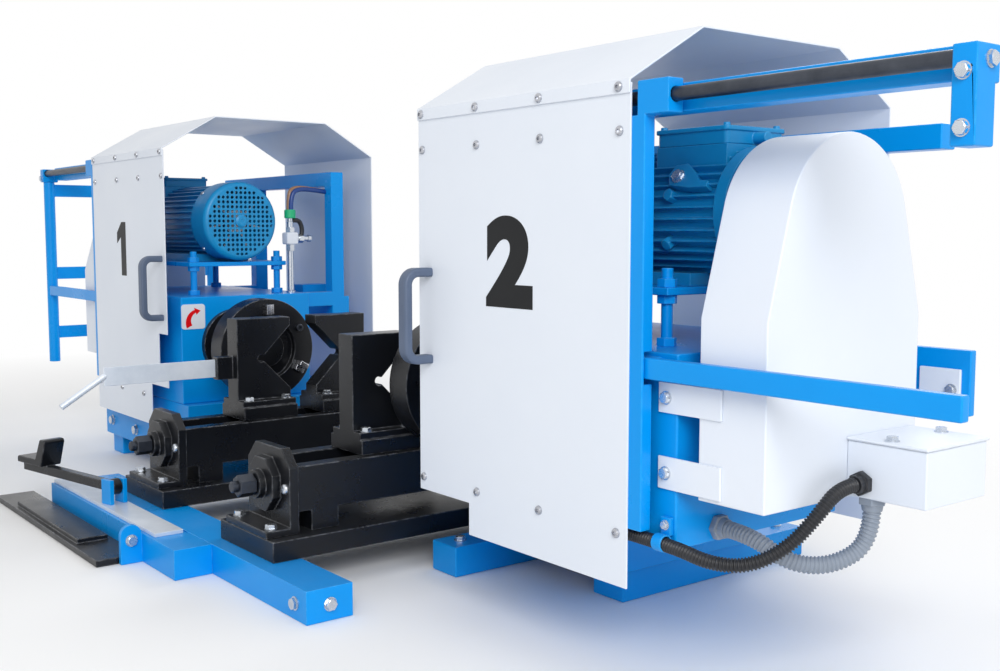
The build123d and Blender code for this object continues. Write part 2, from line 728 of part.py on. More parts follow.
def junction_box():
    y0, y1 = JBOX_Y
    x0, x1, top = BG_OUT, BG_OUT + JBOX_L, JBOX_Z + JBOX_H
    body = block(x0, x1, y0, y1, JBOX_Z, top)
    body -= block(x0 + JBOX_WALL, x1 - JBOX_WALL, y0 + JBOX_WALL, y1 - JBOX_WALL, JBOX_Z + JBOX_WALL, top)
    lid = block(x0, x1 + JBOX_LID_RIM, y0 - JBOX_LID_RIM, y1 + JBOX_LID_RIM, top, top + JBOX_LID_T)
    for y in (y0 + JBOX_SCREW_INSET, y1 - JBOX_SCREW_INSET):
        lid += bar_z(top + JBOX_LID_T, top + JBOX_LID_T + JBOX_SCREW_H, (x0 + x1) / 2, y, JBOX_SCREW_R)
    return [body, lid]


# sliding guard
def guard_panel(notches):
    panel = block(G_IN, G_OUT, G_FRONT, G_FRONT + SHEET, G_BOTTOM, G_FOLD - PANEL_TOP_GAP)
    for width, z0, z1 in notches:
        panel -= block(G_IN, G_IN + width, G_FRONT, G_FRONT + SHEET, z0, z1)
    return panel


def guard_roof():
    lip = G_FRONT - SHEET
    outer = [(lip, G_FOLD - G_LIP_H), (lip, G_FOLD), (lip + G_SLANT, G_ROOF), (G_BACK - G_SLANT, G_ROOF),
             (G_BACK, G_FOLD), (G_BACK, G_BOTTOM)]
    return plate_x(outline(outer + inset(outer, SHEET)[::-1]), G_IN, G_OUT)


def guard_slider():
    """Two blocks that run on the rod, the angle post that ties them down, and the rear shoes."""
    inside = G_FRONT + SHEET
    bore = ROD_R + RUN_FIT
    blocks = []
    for x in (SLIDER_IN, SLIDER_OUT):
        body = block(x, x + SLIDER_L, inside, SLIDER_BACK, *SLIDER_Z)
        blocks.append(body - bar_x(x, x + SLIDER_L, ROD_Y, ROD_Z, bore))
    x0, x1 = POST_X
    post = block(x0, x1, inside, inside + POST_T, POST_BOTTOM, SLIDER_Z[0])
    leg = block(x1 - POST_T, x1, inside, POST_BACK, POST_BOTTOM, SLIDER_Z[0])
    leg -= block(x1 - POST_T, x1, inside + POST_T, POST_BACK, BAR_Z[0] - POST_WINDOW_GAP,
                 BAR_Z[1] + POST_WINDOW_GAP)
    shoe_z = REAR_BAR_Z[1] + SLIDE_GAP
    shoe = block(SLIDER_IN, SLIDER_IN + SLIDER_L, REAR_BEAM_Y + TUBE + SLIDE_GAP, G_BACK - SHEET, shoe_z,
                 shoe_z + SHOE_H)
    return group([blocks[0], blocks[1] + post + leg, shoe])


def guard_handle():
    y0, y1 = G_FRONT, G_FRONT - HANDLE_OUT + HANDLE_T / 2
    low, high = HANDLE_Z[0] + HANDLE_W / 2, HANDLE_Z[1] - HANDLE_W / 2
    path = FilletPolyline((HANDLE_X, y0, low), (HANDLE_X, y1, low), (HANDLE_X, y1, high),
                          (HANDLE_X, y0, high), radius=HANDLE_BEND)
    section = Plane(origin=path @ 0, x_dir=(1, 0, 0), z_dir=path % 0)
    return sweep(section * RectangleRounded(HANDLE_W, HANDLE_T, HANDLE_EDGE), path)


def guard_screws(notches):
    heads = []
    for z in SCREW_LEVELS:
        seat = G_FRONT - SHEET if z > G_FOLD - G_LIP_H else G_FRONT
        for x in SCREW_X:
            if not any(x - SCREW_R < G_IN + width and z0 < z + SCREW_R and z - SCREW_R < z1
                       for width, z0, z1 in notches):
                heads.append(bar_y(seat - SCREW_H, seat, x, z, SCREW_R))
    return group(heads)


# fixed rails of the guard
def rail_frame(bar_end, hanger):
    """The front beam with its posts, the rear beam with its posts and ties, and the front guide bar."""
    front = COLUMN_FRONT
    face = G_FRONT + SHEET
    near = block(FRONT_IN, BEAM_END, front, front + TUBE, BEAM_Z, BEAM_Z + TUBE)
    for x in (FRONT_IN, FRONT_OUT):
        near += block(x, x + TUBE, front, front + TUBE, COLUMN_TOP, BEAM_Z)
    near += block(FRONT_IN, FRONT_IN + LUG_T, face, front, ROD_Z - LUG_HALF, ROD_Z + LUG_HALF)
    near += block(BEAM_END, BEAM_END + END_L, face, face + END_DEPTH, *END_Z)
    bolt_x = BEAM_END + END_L / 2
    near += bar_y(face - END_BOLT_H, face, bolt_x, END_Z[0] + END_BOLT_RISE, END_BOLT_R)
    if hanger:
        low = END_Z[0] - HANGER_DROP
        near += block(BEAM_END, BEAM_END + END_L, face, face + TUBE, low, END_Z[0])
        near += bar_y(face - END_BOLT_H, face, bolt_x, low + HANGER_BOLT_RISE, END_BOLT_R)
    near -= bar_x(FRONT_IN, BEAM_END + ROD_SEAT, ROD_Y, ROD_Z, ROD_R + RUN_FIT)
    far = block(FRAME_IN, REAR_BEAM_END, REAR_BEAM_Y, REAR_BEAM_Y + TUBE, REAR_BEAM_Z, REAR_BEAM_Z + TUBE)
    for x in (FRAME_IN, FRAME_OUT):
        far += block(x, x + TUBE, REAR_BEAM_Y, REAR_BEAM_Y + TUBE, REAR_POST_BOTTOM, REAR_BEAM_Z)
        far += block(x, x + TUBE, COLUMN_BACK, REAR_BEAM_Y, TIE_Z, TIE_Z + TUBE)
    far += block(FRAME_IN, BG_OUT, REAR_BEAM_Y + TUBE, REAR_BEAM_Y + TUBE + BAR_T, *REAR_BAR_Z)
    bar_back = face + POST_T + POST_BAR_GAP + BAR_T
    guide = block(BAR_IN, bar_end, bar_back - BAR_T, bar_back, *BAR_Z)
    for x in BAR_SPACER_X:
        guide += block(x, x + TUBE, bar_back, front, *BAR_Z)
    return group([near, far, guide])


def rods():
    return [bar_x(FRONT_IN, BEAM_END + ROD_SEAT, ROD_Y, ROD_Z, ROD_R)]


def end_gate():
    """Two upright tubes and three flat bars that hang from the end of head A's rails."""
    gate = bar_z(GATE_BOTTOM, END_Z[0], GATE_X, GATE_Y, GATE_R)
    gate += bar_z(GATE_BARS[0], GATE_BARS[-1] + GATE_BAR_H, GATE_X, GATE_BACK, GATE_R)
    for z in GATE_BARS:
        gate += block(GATE_X - GATE_BAR_T / 2, GATE_X + GATE_BAR_T / 2, GATE_Y, GATE_BACK, z, z + GATE_BAR_H)
    return gate


# clamps
def clamp_base(cx):
    return block(cx - CLAMP_BASE_HALF, cx + CLAMP_BASE_HALF, -CLAMP_BASE_Y, CLAMP_BASE_Y, RAIL_H,
                 RAIL_H + CLAMP_BASE_T)


def clamp_bed(cx):
    bed = block(cx - BED_HALF, cx + BED_HALF, -BED_Y, BED_Y, *BED_Z)
    bed -= block(cx - BED_SLOT_HALF, cx + BED_SLOT_HALF, -BED_Y, BED_Y, BED_Z[0] + BED_FLOOR, BED_Z[1])
    for s in (-1, 1):
        bed += block(cx - BED_HALF, cx + BED_HALF, s * BED_BAR_Y[0], s * BED_BAR_Y[1], RAIL_H + CLAMP_BASE_T,
                     BED_Z[0])
    return bed


def bracket_front():
    """Distance of the front bracket's hub face from the axis."""
    return BED_Y + BRACKET_T + BRACKET_PLATE_T + BRACKET_HUB_L


def clamp_brackets(cx):
    """Front bracket with its octagonal plate and hub, and the plain rear one."""
    z0 = RAIL_H + CLAMP_BASE_T
    w, c = BRACKET_HALF, BRACKET_CORNER
    shape = [(cx - w, z0), (cx + w, z0), (cx + w, BRACKET_TOP - c), (cx + w - c, BRACKET_TOP),
             (cx + c - w, BRACKET_TOP), (cx - w, BRACKET_TOP - c)]
    pieces = []
    for s in (-1, 1):
        near, far = s * BED_Y, s * (BED_Y + BRACKET_T)
        bracket = plate_y(shape, min(near, far), max(near, far))
        bracket += block(cx - w, cx + w, far, s * CLAMP_BASE_Y, z0, z0 + BRACKET_FOOT_T)
        if s < 0:
            eight = Plane((cx, far, CS_Z), x_dir=(1, 0, 0), z_dir=(0, -1, 0)) * RegularPolygon(
                BRACKET_PLATE_R, 8, rotation=180 / 8)
            bracket += extrude(eight, BRACKET_PLATE_T)
            bracket += bar_y(-bracket_front(), far, cx, CS_Z, BRACKET_HUB_R)
        pieces.append(bracket - bar_y(s * BED_Y, s * bracket_front(), cx, CS_Z, CS_R + RUN_FIT))
    return pieces


def clamp_screw(cx):
    front = -bracket_front() - SLIDE_GAP
    screw = bar_y(front, BED_Y + BRACKET_T, cx, CS_Z, CS_R)
    end = Plane((cx, front, CS_Z), x_dir=(1, 0, 0), z_dir=(0, -1, 0))
    screw += extrude(end * RegularPolygon(CS_HEX_R, 6), CS_HEX_L)
    return screw + bar_y(front - CS_HEX_L - CS_TIP_L, front - CS_HEX_L, cx, CS_Z, CS_TIP_R)


def rear_jaw(cx):
    """Carriage, vee block, the nut that the screw drives, and the bolts, on the +Y side."""
    y0, y1 = JAW_Y
    z0 = BED_Z[1] + SLIDE_GAP
    z1 = z0 + CARRIAGE_T
    z2 = z1 + JAW_FLANGE_T
    jaw = block(cx - CARRIAGE_HALF, cx + CARRIAGE_HALF, y0, y1, z0, z1)
    jaw += block(cx - JAW_FLANGE_HALF, cx + JAW_FLANGE_HALF, y0, y1, z1, z2)
    vee = block(cx - JAW_HALF, cx + JAW_HALF, y0, y1, z1, JAW_TOP)
    apex = HELD_R * math.sqrt(2)
    corner = outline([(apex, AXIS_Z), (0, AXIS_Z - apex), (0, AXIS_Z + apex)])
    vee -= plate_x(corner, cx - JAW_HALF, cx + JAW_HALF)
    vee -= bar_x(cx - JAW_HALF, cx + JAW_HALF, apex, AXIS_Z, JAW_RELIEF_R)
    nut = block(cx - BED_SLOT_HALF + SLIDE_GAP, cx + BED_SLOT_HALF - SLIDE_GAP, *NUT_BLOCK_Y,
                BED_Z[0] + BED_FLOOR + SLIDE_GAP, z0)
    jaw += vee + nut
    for x in (cx - JAW_BOLT_X, cx + JAW_BOLT_X):
        for y in (y0 + JAW_BOLT_INSET, y1 - JAW_BOLT_INSET):
            jaw += hex_z(z2, z2 + JAW_BOLT_H, x, y, JAW_BOLT_R)
    return jaw - bar_y(*NUT_BLOCK_Y, cx, CS_Z, CS_R + RUN_FIT)


def front_jaw(cx):
    return mirror(rear_jaw(cx), about=Plane.XZ)


def pull_socket():
    width, length, height = PULL_SOCKET[0], PULL_SOCKET[2], PULL_SOCKET[1]
    return block(PULL_X - width / 2, PULL_X + width / 2, -JAW_Y[1] - length, -JAW_Y[1], PULL_Z - height / 2,
                 PULL_Z + height / 2)


def pull_bar():
    root = -JAW_Y[1] - PULL_SOCKET[2]
    bar = block(PULL_X - PULL_T / 2, PULL_X + PULL_T / 2, PULL_END, root, PULL_Z - PULL_H / 2,
                PULL_Z + PULL_H / 2)
    start = Vector(PULL_X, PULL_END, PULL_Z)
    tip = Vector(PULL_X, *PULL_ROD_TIP)
    rod = Plane(origin=start, z_dir=tip - start) * Cylinder(
        PULL_ROD_R, (tip - start).length, align=(Align.CENTER, Align.CENTER, Align.MIN))
    return bar + rod + Pos(*start) * Sphere(PULL_ROD_R)


def base_bolts():
    """Bolts of the clamp brackets, the rail end, the pedal plate's pivot and the sleds."""
    heads = []
    foot = RAIL_H + CLAMP_BASE_T + BRACKET_FOOT_T
    for cx in (CLAMP_A_X, CLAMP_B_X):
        for s in (-1, 1):
            y = s * (CLAMP_BASE_Y - BOLT_INSET)
            for x in (cx - BRACKET_HALF + BOLT_INSET, cx + BRACKET_HALF - BOLT_INSET):
                heads.append(hex_z(foot, foot + BOLT_H, x, y, BOLT_R))
    heads.append(bar_x(RAIL_B_END, RAIL_B_END + BOLT_H, -RAIL_Y, RAIL_H / 2, BOLT_R))
    rail_front = -RAIL_Y - RAIL_W / 2
    heads.append(bar_y(rail_front - BOLT_H, rail_front, RAIL_B_END - 2 * BOLT_INSET, RAIL_H / 2, BOLT_R))
    pivot = PEDAL_PLATE_X[1] + PIVOT_GAP + PIVOT_T
    heads.append(bar_x(pivot, pivot + BOLT_H, TREADLE_FRONT - PIVOT_W / 2, PIVOT_BOLT_Z, BOLT_R))
    sled_mid = SLED_W / 2
    for x in (-BASE_A[0] - sled_mid, -BASE_A[1] + sled_mid, BASE_B[0] + sled_mid, SLED_B_OUTER - sled_mid):
        heads.append(hex_z(RAIL_H, RAIL_H + BOLT_H, x, HALF_DEPTH - 2 * BOLT_INSET, BOLT_R))
    near = SLED_B_FRONTS[0] + 2 * BOLT_INSET
    heads.append(hex_z(RAIL_H, RAIL_H + BOLT_H, BASE_B[0] + sled_mid, near, BOLT_R))
    return group(heads)


# conduits
def soft_path(corners):
    """Straight runs joined by tangent arcs as large as the runs allow."""
    radii = []
    for a, b, c in zip(corners, corners[1:], corners[2:]):
        half = math.radians((b - a).get_angle(c - b)) / 2
        radii.append(RUN_SHARE * min((b - a).length, (c - b).length) / math.tan(half))
    print("conduit radii", [round(r) for r in radii])
    return FilletPolyline(*corners, radius=radii)


def from_column(route):
    return [Vector(COLUMN_OUT + x, y, z) for x, y, z in route]


def ribbed(corners, crest, root, bore, pitch):
    """A hose with its bore, plain at both ends, and ribs that are lofted through four circles each."""
    path = soft_path(corners)
    plain = 2 * crest
    ribs = int((path.length - 2 * plain) / pitch)
    stations = [(0, root)]
    for i in range(ribs):
        at = plain + i * pitch
        stations += [(at, root), (at + pitch * RIB_RISE, crest), (at + pitch * RIB_FALL, crest),
                     (at + pitch * RIB_END, root)]
    stations.append((path.length, root))
    across = Vector(*RIB_ACROSS)
    rings = []
    for at, radius in stations:
        u = at / path.length
        along = path % u
        ring = Plane(origin=path @ u, x_dir=across - along * across.dot(along), z_dir=along)
        rings.append(ring * Circle(radius))
    hose = loft(rings, ruled=True)
    start = Plane(origin=path @ 0, z_dir=path % 0)
    return hose - sweep(start * Circle(bore), path)


def black_conduit():
    """From a block on the column's front to the front of the junction box."""
    corners = from_column(BLACK_ROUTE)
    start, end = corners[0], corners[-1]
    gland_r = BLACK_R + GLAND_SPARE
    hose = ribbed(corners, BLACK_R, BLACK_ROOT, BLACK_BORE, BLACK_PITCH)
    face = start.X - GLAND_L
    holder = block(face - GLAND_BLOCK, face, COLUMN_FRONT - GLAND_BLOCK, COLUMN_FRONT,
                   start.Z - GLAND_BLOCK / 2, start.Z + GLAND_BLOCK / 2)
    holder += bar_x(face, start.X, start.Y, start.Z, gland_r - GLAND_SPARE / 2)
    return group([hose, holder, bar_y(end.Y, JBOX_Y[0], end.X, end.Z, gland_r)])


def grey_conduit():
    """From the column's outer face to the underside of the junction box."""
    corners = from_column(GREY_ROUTE)
    start, end = corners[0], corners[-1]
    gland_r = GREY_R + GLAND_SPARE
    hose = ribbed(corners, GREY_R, GREY_ROOT, GREY_BORE, GREY_PITCH)
    return group([hose, bar_x(COLUMN_OUT, start.X, start.Y, start.Z, gland_r),
                  bar_z(end.Z, JBOX_Z, end.X, end.Y, gland_r)])


parts["base_a"] = base_a()
parts["base_b"] = base_b()
parts["floor_rails"] = floor_rails()
parts["treadle_strip"] = treadle_strip()
parts["pedal_plate"] = pedal_plate()
parts["foot_lever"] = foot_lever()
parts["base_bolts"] = base_bolts()
for name, make in (("column", column), ("spindle_housing", spindle_housing), ("spindle", spindle),
                   ("boring_head", boring_head), ("spindle_pulley", spindle_pulley),
                   ("motor_body", motor_body), ("fan_cowl", fan_cowl), ("terminal_box", terminal_box),
                   ("motor_shaft", motor_shaft), ("motor_plate", motor_plate), ("belt_guard", belt_guard),
                   ("guard_roof", guard_roof), ("guard_slider", guard_slider),
                   ("guard_handle", guard_handle)):
    both(name, make)
for name, make in (("spindle_bearings", bearings), ("drive_belts", belts), ("motor_studs", studs),
                   ("belt_guard_straps", straps), ("junction_boxes", junction_box), ("guide_rods", rods)):
    parts[name] = pairs(make)
parts["guard_panel_b"] = guard_panel(NOTCH_B)
parts["guard_panel_a"] = mirrored(guard_panel(NOTCH_A))
parts["guard_screws_b"] = guard_screws(NOTCH_B)
parts["guard_screws_a"] = mirrored(guard_screws(NOTCH_A))
parts["rail_frame_b"] = rail_frame(BAR_B_END, True)
parts["rail_frame_a"] = mirrored(rail_frame(GATE_X - GATE_R, False))
parts["end_gate"] = mirrored(end_gate())
clamps = (CLAMP_A_X, CLAMP_B_X)
parts["clamp_bases"] = group([clamp_base(cx) for cx in clamps])
parts["clamp_beds"] = group([clamp_bed(cx) for cx in clamps])
parts["clamp_brackets"] = group([bracket for cx in clamps for bracket in clamp_brackets(cx)])
for side, cx in zip("ab", clamps):
    parts["clamp_screw_" + side] = clamp_screw(cx)
    parts["rear_jaw_" + side] = rear_jaw(cx)
    parts["front_jaw_" + side] = front_jaw(cx)
parts["front_jaw_a"] += pull_socket()
parts["pull_bar"] = pull_bar()
parts["black_conduit"] = black_conduit()
parts["grey_conduit"] = grey_conduit()

os.makedirs("parts", exist_ok=True)
for name, part in parts.items():
    export_step(part, f"parts/{name}.step")
print(len(parts), "nodes")
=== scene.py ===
# %% [markdown]
# # Twin head boring machine
# Two belt-driven boring heads face each other under sliding sheet guards, and two vee clamps stand between
# them. The solids come from the frame at their real size. This lesson gives them eased edges, fasteners,
# hoses, markings and finishes, and moves nothing.

# %% Load the frame
import json
import math

import bmesh
import bpy
from mathutils import Matrix, Vector


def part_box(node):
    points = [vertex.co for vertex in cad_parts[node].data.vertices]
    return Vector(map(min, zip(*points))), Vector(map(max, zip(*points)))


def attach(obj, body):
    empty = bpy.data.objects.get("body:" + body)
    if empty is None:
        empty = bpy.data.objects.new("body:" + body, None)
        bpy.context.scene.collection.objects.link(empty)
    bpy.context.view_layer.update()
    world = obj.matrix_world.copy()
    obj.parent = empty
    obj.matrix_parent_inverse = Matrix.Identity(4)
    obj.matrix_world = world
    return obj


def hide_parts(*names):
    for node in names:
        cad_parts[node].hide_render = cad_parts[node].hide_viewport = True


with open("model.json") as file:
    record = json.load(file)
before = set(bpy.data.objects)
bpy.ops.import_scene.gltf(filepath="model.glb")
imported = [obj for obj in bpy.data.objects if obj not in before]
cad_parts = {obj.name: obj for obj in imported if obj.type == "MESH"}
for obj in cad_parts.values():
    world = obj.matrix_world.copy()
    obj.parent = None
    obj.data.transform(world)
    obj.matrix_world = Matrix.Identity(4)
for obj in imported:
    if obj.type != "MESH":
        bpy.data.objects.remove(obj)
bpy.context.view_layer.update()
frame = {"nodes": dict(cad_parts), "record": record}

NODES = frame["nodes"]
RECORD = frame["record"]
SLOT_OF = {part["node"]: part["material_slot"] for part in RECORD["subparts"]}
BODY_OF = {node: body for body, nodes in RECORD["behaviour"]["bodies"].items() for node in nodes}
MM = 0.001


def box_mm(name):
    """The lowest and highest corner of a node, in mm."""
    low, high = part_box(name)
    return Vector(low) / MM, Vector(high) / MM


def middle_mm(name):
    low, high = box_mm(name)
    return (low + high) / 2


# %% [markdown]
# ## Camera
# The photograph was taken from the operator's side, near head B, so the near end looms. A long focal length
# from far away would flatten that, so the camera stands as close as the one that took it.

# %% Place the camera
IMAGE_WIDTH = 1000
FOCAL_PIXELS = 1153.58
CAMERA_AT = Vector((2.322, -1.354, 0.675))
LOOK_TURN = 0.6621
LOOK_DOWN = 0.0904
NEAR_CLIP = 0.02


def linked(name, data):
    """A new object in the scene."""
    made = bpy.data.objects.new(name, data)
    bpy.context.scene.collection.objects.link(made)
    return made


camera_lens = bpy.data.cameras.new("camera")
camera_lens.lens = FOCAL_PIXELS / IMAGE_WIDTH * camera_lens.sensor_width
camera_lens.clip_start = NEAR_CLIP
camera = linked("camera", camera_lens)
look = Vector((-math.cos(LOOK_TURN) * math.cos(LOOK_DOWN), math.sin(LOOK_TURN) * math.cos(LOOK_DOWN),
               -math.sin(LOOK_DOWN)))
camera.location = CAMERA_AT
camera.rotation_euler = look.to_track_quat("-Z", "Y").to_euler()
bpy.context.scene.camera = camera
print("lens", round(camera_lens.lens, 2), "mm")

# %% [markdown]
# ## Nodes in few lines
# A material is a tree of nodes. Two small helpers keep the trees readable: they add a node and fill in its
# sockets, and an output that is given where a number would stand becomes a link. The others wrap the few
# nodes that every tree uses.

# %% Helpers for node trees
def fill(tree, made, sockets):
    """Sets a node's sockets. A value is a number, a colour or another node's output."""
    for key, value in sockets.items():
        if isinstance(value, bpy.types.NodeSocket):
            tree.links.new(value, made.inputs[key])
        else:
            made.inputs[key].default_value = value


def node(tree, kind, sockets=None, **settings):
    made = tree.nodes.new(kind)
    for name, value in settings.items():
        setattr(made, name, value)
    fill(tree, made, sockets or {})
    return made


def math_node(tree, operation, first, second=0.0):
    return node(tree, "ShaderNodeMath", {0: first, 1: second}, operation=operation).outputs[0]


def blend_colour(tree, factor, first, second):
    made = node(tree, "ShaderNodeMix", {0: factor, 6: first, 7: second}, data_type="RGBA")
    return made.outputs[2]


def spread(tree, value, low, high, to_low=0.0, to_high=1.0):
    """A value between two limits, mapped to two others and held there."""
    made = node(tree, "ShaderNodeMapRange",
                {"Value": value, "From Min": low, "From Max": high, "To Min": to_low, "To Max": to_high})
    return made.outputs["Result"]


def colour(shade):
    """A colour as a screen shows it, 0 to 255, made linear for the shader."""
    parts = [c / 255 for c in shade]
    return (*[c / 12.92 if c <= 0.04045 else ((c + 0.055) / 1.055) ** 2.4 for c in parts], 1.0)


print("node helpers ready")

# %% [markdown]
# ## Marks that every finish shares
# Real paint is never one colour: it clouds a little, has a fine orange peel, gathers dust on top and wears
# through at the edges. One shader group makes those four masks from the object's own coordinates, so each
# finish only says how much of each it wants. The edge mask compares the surface with a rounded copy of it,
# and the paler tone it brings is partly wear and partly a painted highlight on the edges.

# %% Build the group of marks
CLOUD_RANGE = (0.3, 0.7)
CHIP_SCALE = 60.0
CHIP_RANGE = (0.42, 0.62)
EDGE_RANGE = (0.995, 0.88)
UPWARD_RANGE = (0.5, 1.0)
DUST_RANGE = (0.35, 0.75)


def marks_group():
    group = bpy.data.node_groups.new("surface_marks", "ShaderNodeTree")
    for name, value in (("Cloud Scale", 5.0), ("Grain Scale", 700.0), ("Edge Width", 0.003)):
        group.interface.new_socket(name, in_out="INPUT", socket_type="NodeSocketFloat").default_value = value
    for name in ("Cloud", "Grain", "Edge", "Dust"):
        group.interface.new_socket(name, in_out="OUTPUT", socket_type="NodeSocketFloat")
    asked = group.nodes.new("NodeGroupInput").outputs
    place = node(group, "ShaderNodeTexCoord").outputs["Object"]
    cloud = node(group, "ShaderNodeTexNoise", {"Vector": place, "Scale": asked["Cloud Scale"], "Detail": 5.0,
                                               "Roughness": 0.6}).outputs[0]
    grain = node(group, "ShaderNodeTexNoise", {"Vector": place, "Scale": asked["Grain Scale"], "Detail": 2.0})
    chips = node(group, "ShaderNodeTexNoise", {"Vector": place, "Scale": CHIP_SCALE, "Detail": 6.0,
                                               "Roughness": 0.7}).outputs[0]
    normal = node(group, "ShaderNodeNewGeometry").outputs["Normal"]
    rounded = node(group, "ShaderNodeBevel", {"Radius": asked["Edge Width"]}, samples=4).outputs[0]
    match = node(group, "ShaderNodeVectorMath", {0: normal, 1: rounded}, operation="DOT_PRODUCT")
    edge = spread(group, match.outputs["Value"], *EDGE_RANGE)
    edge = math_node(group, "MULTIPLY", edge, spread(group, chips, *CHIP_RANGE))
    upward = node(group, "ShaderNodeSeparateXYZ", {0: normal}).outputs["Z"]
    dusty = spread(group, cloud, *DUST_RANGE)
    dust = math_node(group, "MULTIPLY", spread(group, upward, *UPWARD_RANGE), dusty)
    node(group, "NodeGroupOutput", {"Cloud": spread(group, cloud, *CLOUD_RANGE), "Grain": grain.outputs[0],
                                    "Edge": edge, "Dust": dust})
    return group


MARKS = marks_group()
print("group", MARKS.name, "with", len(MARKS.nodes), "nodes")

# %% [markdown]
# ## Paint, metal and plastic
# Three kinds of finish cover the machine: paint and powder coat on the steel, bare or plated metal, and
# moulded plastic or rubber. Each is one function with the colours and amounts as inputs, because a dozen
# nearly equal trees would be hard to keep alike.

# %% Write the finish functions
NOISE_RANGE = (0.3, 0.7)
PAINT_GRAIN = 650.0
PAINT_EDGE = 0.0025
PAINT_CLOUDING = 0.45
PAINT_SWING = (-0.05, 0.09)
PEEL_DEPTH = 0.0004
COAT_ROUGHNESS = 0.18
DUST_COLOUR = colour((176, 178, 182))
METAL_CLOUD = 18.0
METAL_GRAIN = 900.0
METAL_EDGE = 0.002
METAL_SWING = (-0.08, 0.1)
SCRATCH_DEPTH = 0.0002
DRAWN = (0.05, 1.0, 1.0)
PLASTIC_CLOUD = 9.0
PLASTIC_EDGE = 0.003
PLASTIC_CLOUDING = 0.3
PLASTIC_SCUFF = 0.35
PLASTIC_SWING = (-0.06, 0.08)


def blank(name):
    material = bpy.data.materials.new(name)
    material.use_nodes = True
    tree = material.node_tree
    return material, tree, tree.nodes["Principled BSDF"]


def placed_marks(tree, cloud_scale, grain_scale, edge_width):
    amounts = {"Cloud Scale": cloud_scale, "Grain Scale": grain_scale, "Edge Width": edge_width}
    return node(tree, "ShaderNodeGroup", amounts, node_tree=MARKS).outputs


def tinted(tree, mask, amount, tone, other):
    """A tone that moves towards another where a mask is bright."""
    return blend_colour(tree, math_node(tree, "MULTIPLY", mask, amount), tone, other)


def set_bump(tree, shader, height, strength, distance=PEEL_DEPTH):
    bump = node(tree, "ShaderNodeBump", {"Height": height, "Strength": strength, "Distance": distance})
    fill(tree, shader, {"Normal": bump.outputs[0]})


def set_roughness(tree, shader, mask, limits, rough, swing):
    """A roughness that follows a mask, from a little under its middle value to a little over it."""
    under, over = swing
    fill(tree, shader, {"Roughness": spread(tree, mask, *limits, rough + under, rough + over)})


def painted(name, base, deep, worn_and_highlit, rough, wear_and_highlight=0.5, dust=0.1, peel=0.15, cloud=5.0, coat=0.0, shine=0.5):
    """Paint that clouds towards a deeper shade, dusts over on top, and turns a paler tone at the edges: part
    wear, part painted highlight.
    """
    material, tree, shader = blank(name)
    marks = placed_marks(tree, cloud, PAINT_GRAIN, PAINT_EDGE)
    tone = tinted(tree, marks["Cloud"], PAINT_CLOUDING, colour(base), colour(deep))
    # Edge tone: wear through the paint, and a painted highlight where light would catch the edges.
    tone = tinted(tree, marks["Edge"], wear_and_highlight, tone, colour(worn_and_highlit))
    tone = tinted(tree, marks["Dust"], dust, tone, DUST_COLOUR)
    fill(tree, shader, {"Base Color": tone, "Specular IOR Level": shine, "Coat Weight": coat,
                        "Coat Roughness": COAT_ROUGHNESS})
    set_roughness(tree, shader, marks["Cloud"], (0.0, 1.0), rough, PAINT_SWING)
    set_bump(tree, shader, marks["Grain"], peel)
    return material


def bare_metal(name, base, tint, rough, stretch=(1.0, 1.0, 1.0), scratch=0.12, metal=1.0):
    """Plated or ground metal: a slow drift of tint, and fine scratches that a stretch can draw out."""
    material, tree, shader = blank(name)
    marks = placed_marks(tree, METAL_CLOUD, METAL_GRAIN, METAL_EDGE)
    place = node(tree, "ShaderNodeTexCoord").outputs["Object"]
    drawn = node(tree, "ShaderNodeMapping", {"Vector": place, "Scale": stretch}).outputs[0]
    lines = node(tree, "ShaderNodeTexNoise", {"Vector": drawn, "Scale": METAL_GRAIN, "Detail": 3.0})
    lines = lines.outputs[0]
    tone = blend_colour(tree, marks["Cloud"], colour(base), colour(tint))
    fill(tree, shader, {"Base Color": tone, "Metallic": metal})
    set_roughness(tree, shader, lines, NOISE_RANGE, rough, METAL_SWING)
    set_bump(tree, shader, lines, scratch, SCRATCH_DEPTH)
    return material


def moulded(name, base, pale, rough, grain=0.2, grain_scale=500.0):
    """Plastic or rubber with a fine spark-eroded grain and scuffed edges."""
    material, tree, shader = blank(name)
    marks = placed_marks(tree, PLASTIC_CLOUD, grain_scale, PLASTIC_EDGE)
    tone = tinted(tree, marks["Cloud"], PLASTIC_CLOUDING, colour(base), colour(pale))
    tone = tinted(tree, marks["Edge"], PLASTIC_SCUFF, tone, colour(pale))
    fill(tree, shader, {"Base Color": tone})
    set_roughness(tree, shader, marks["Grain"], NOISE_RANGE, rough, PLASTIC_SWING)
    set_bump(tree, shader, marks["Grain"], grain)
    return material


def film(name, shade, deep, rough):
    """Cut film: an even colour, with hardly any grain, no wear, no painted edge highlight and no dust."""
    return painted(name, shade, deep, shade, rough, wear_and_highlight=0.0, dust=0.0, peel=0.05, shine=0.25)


print("three kinds of finish, and film")
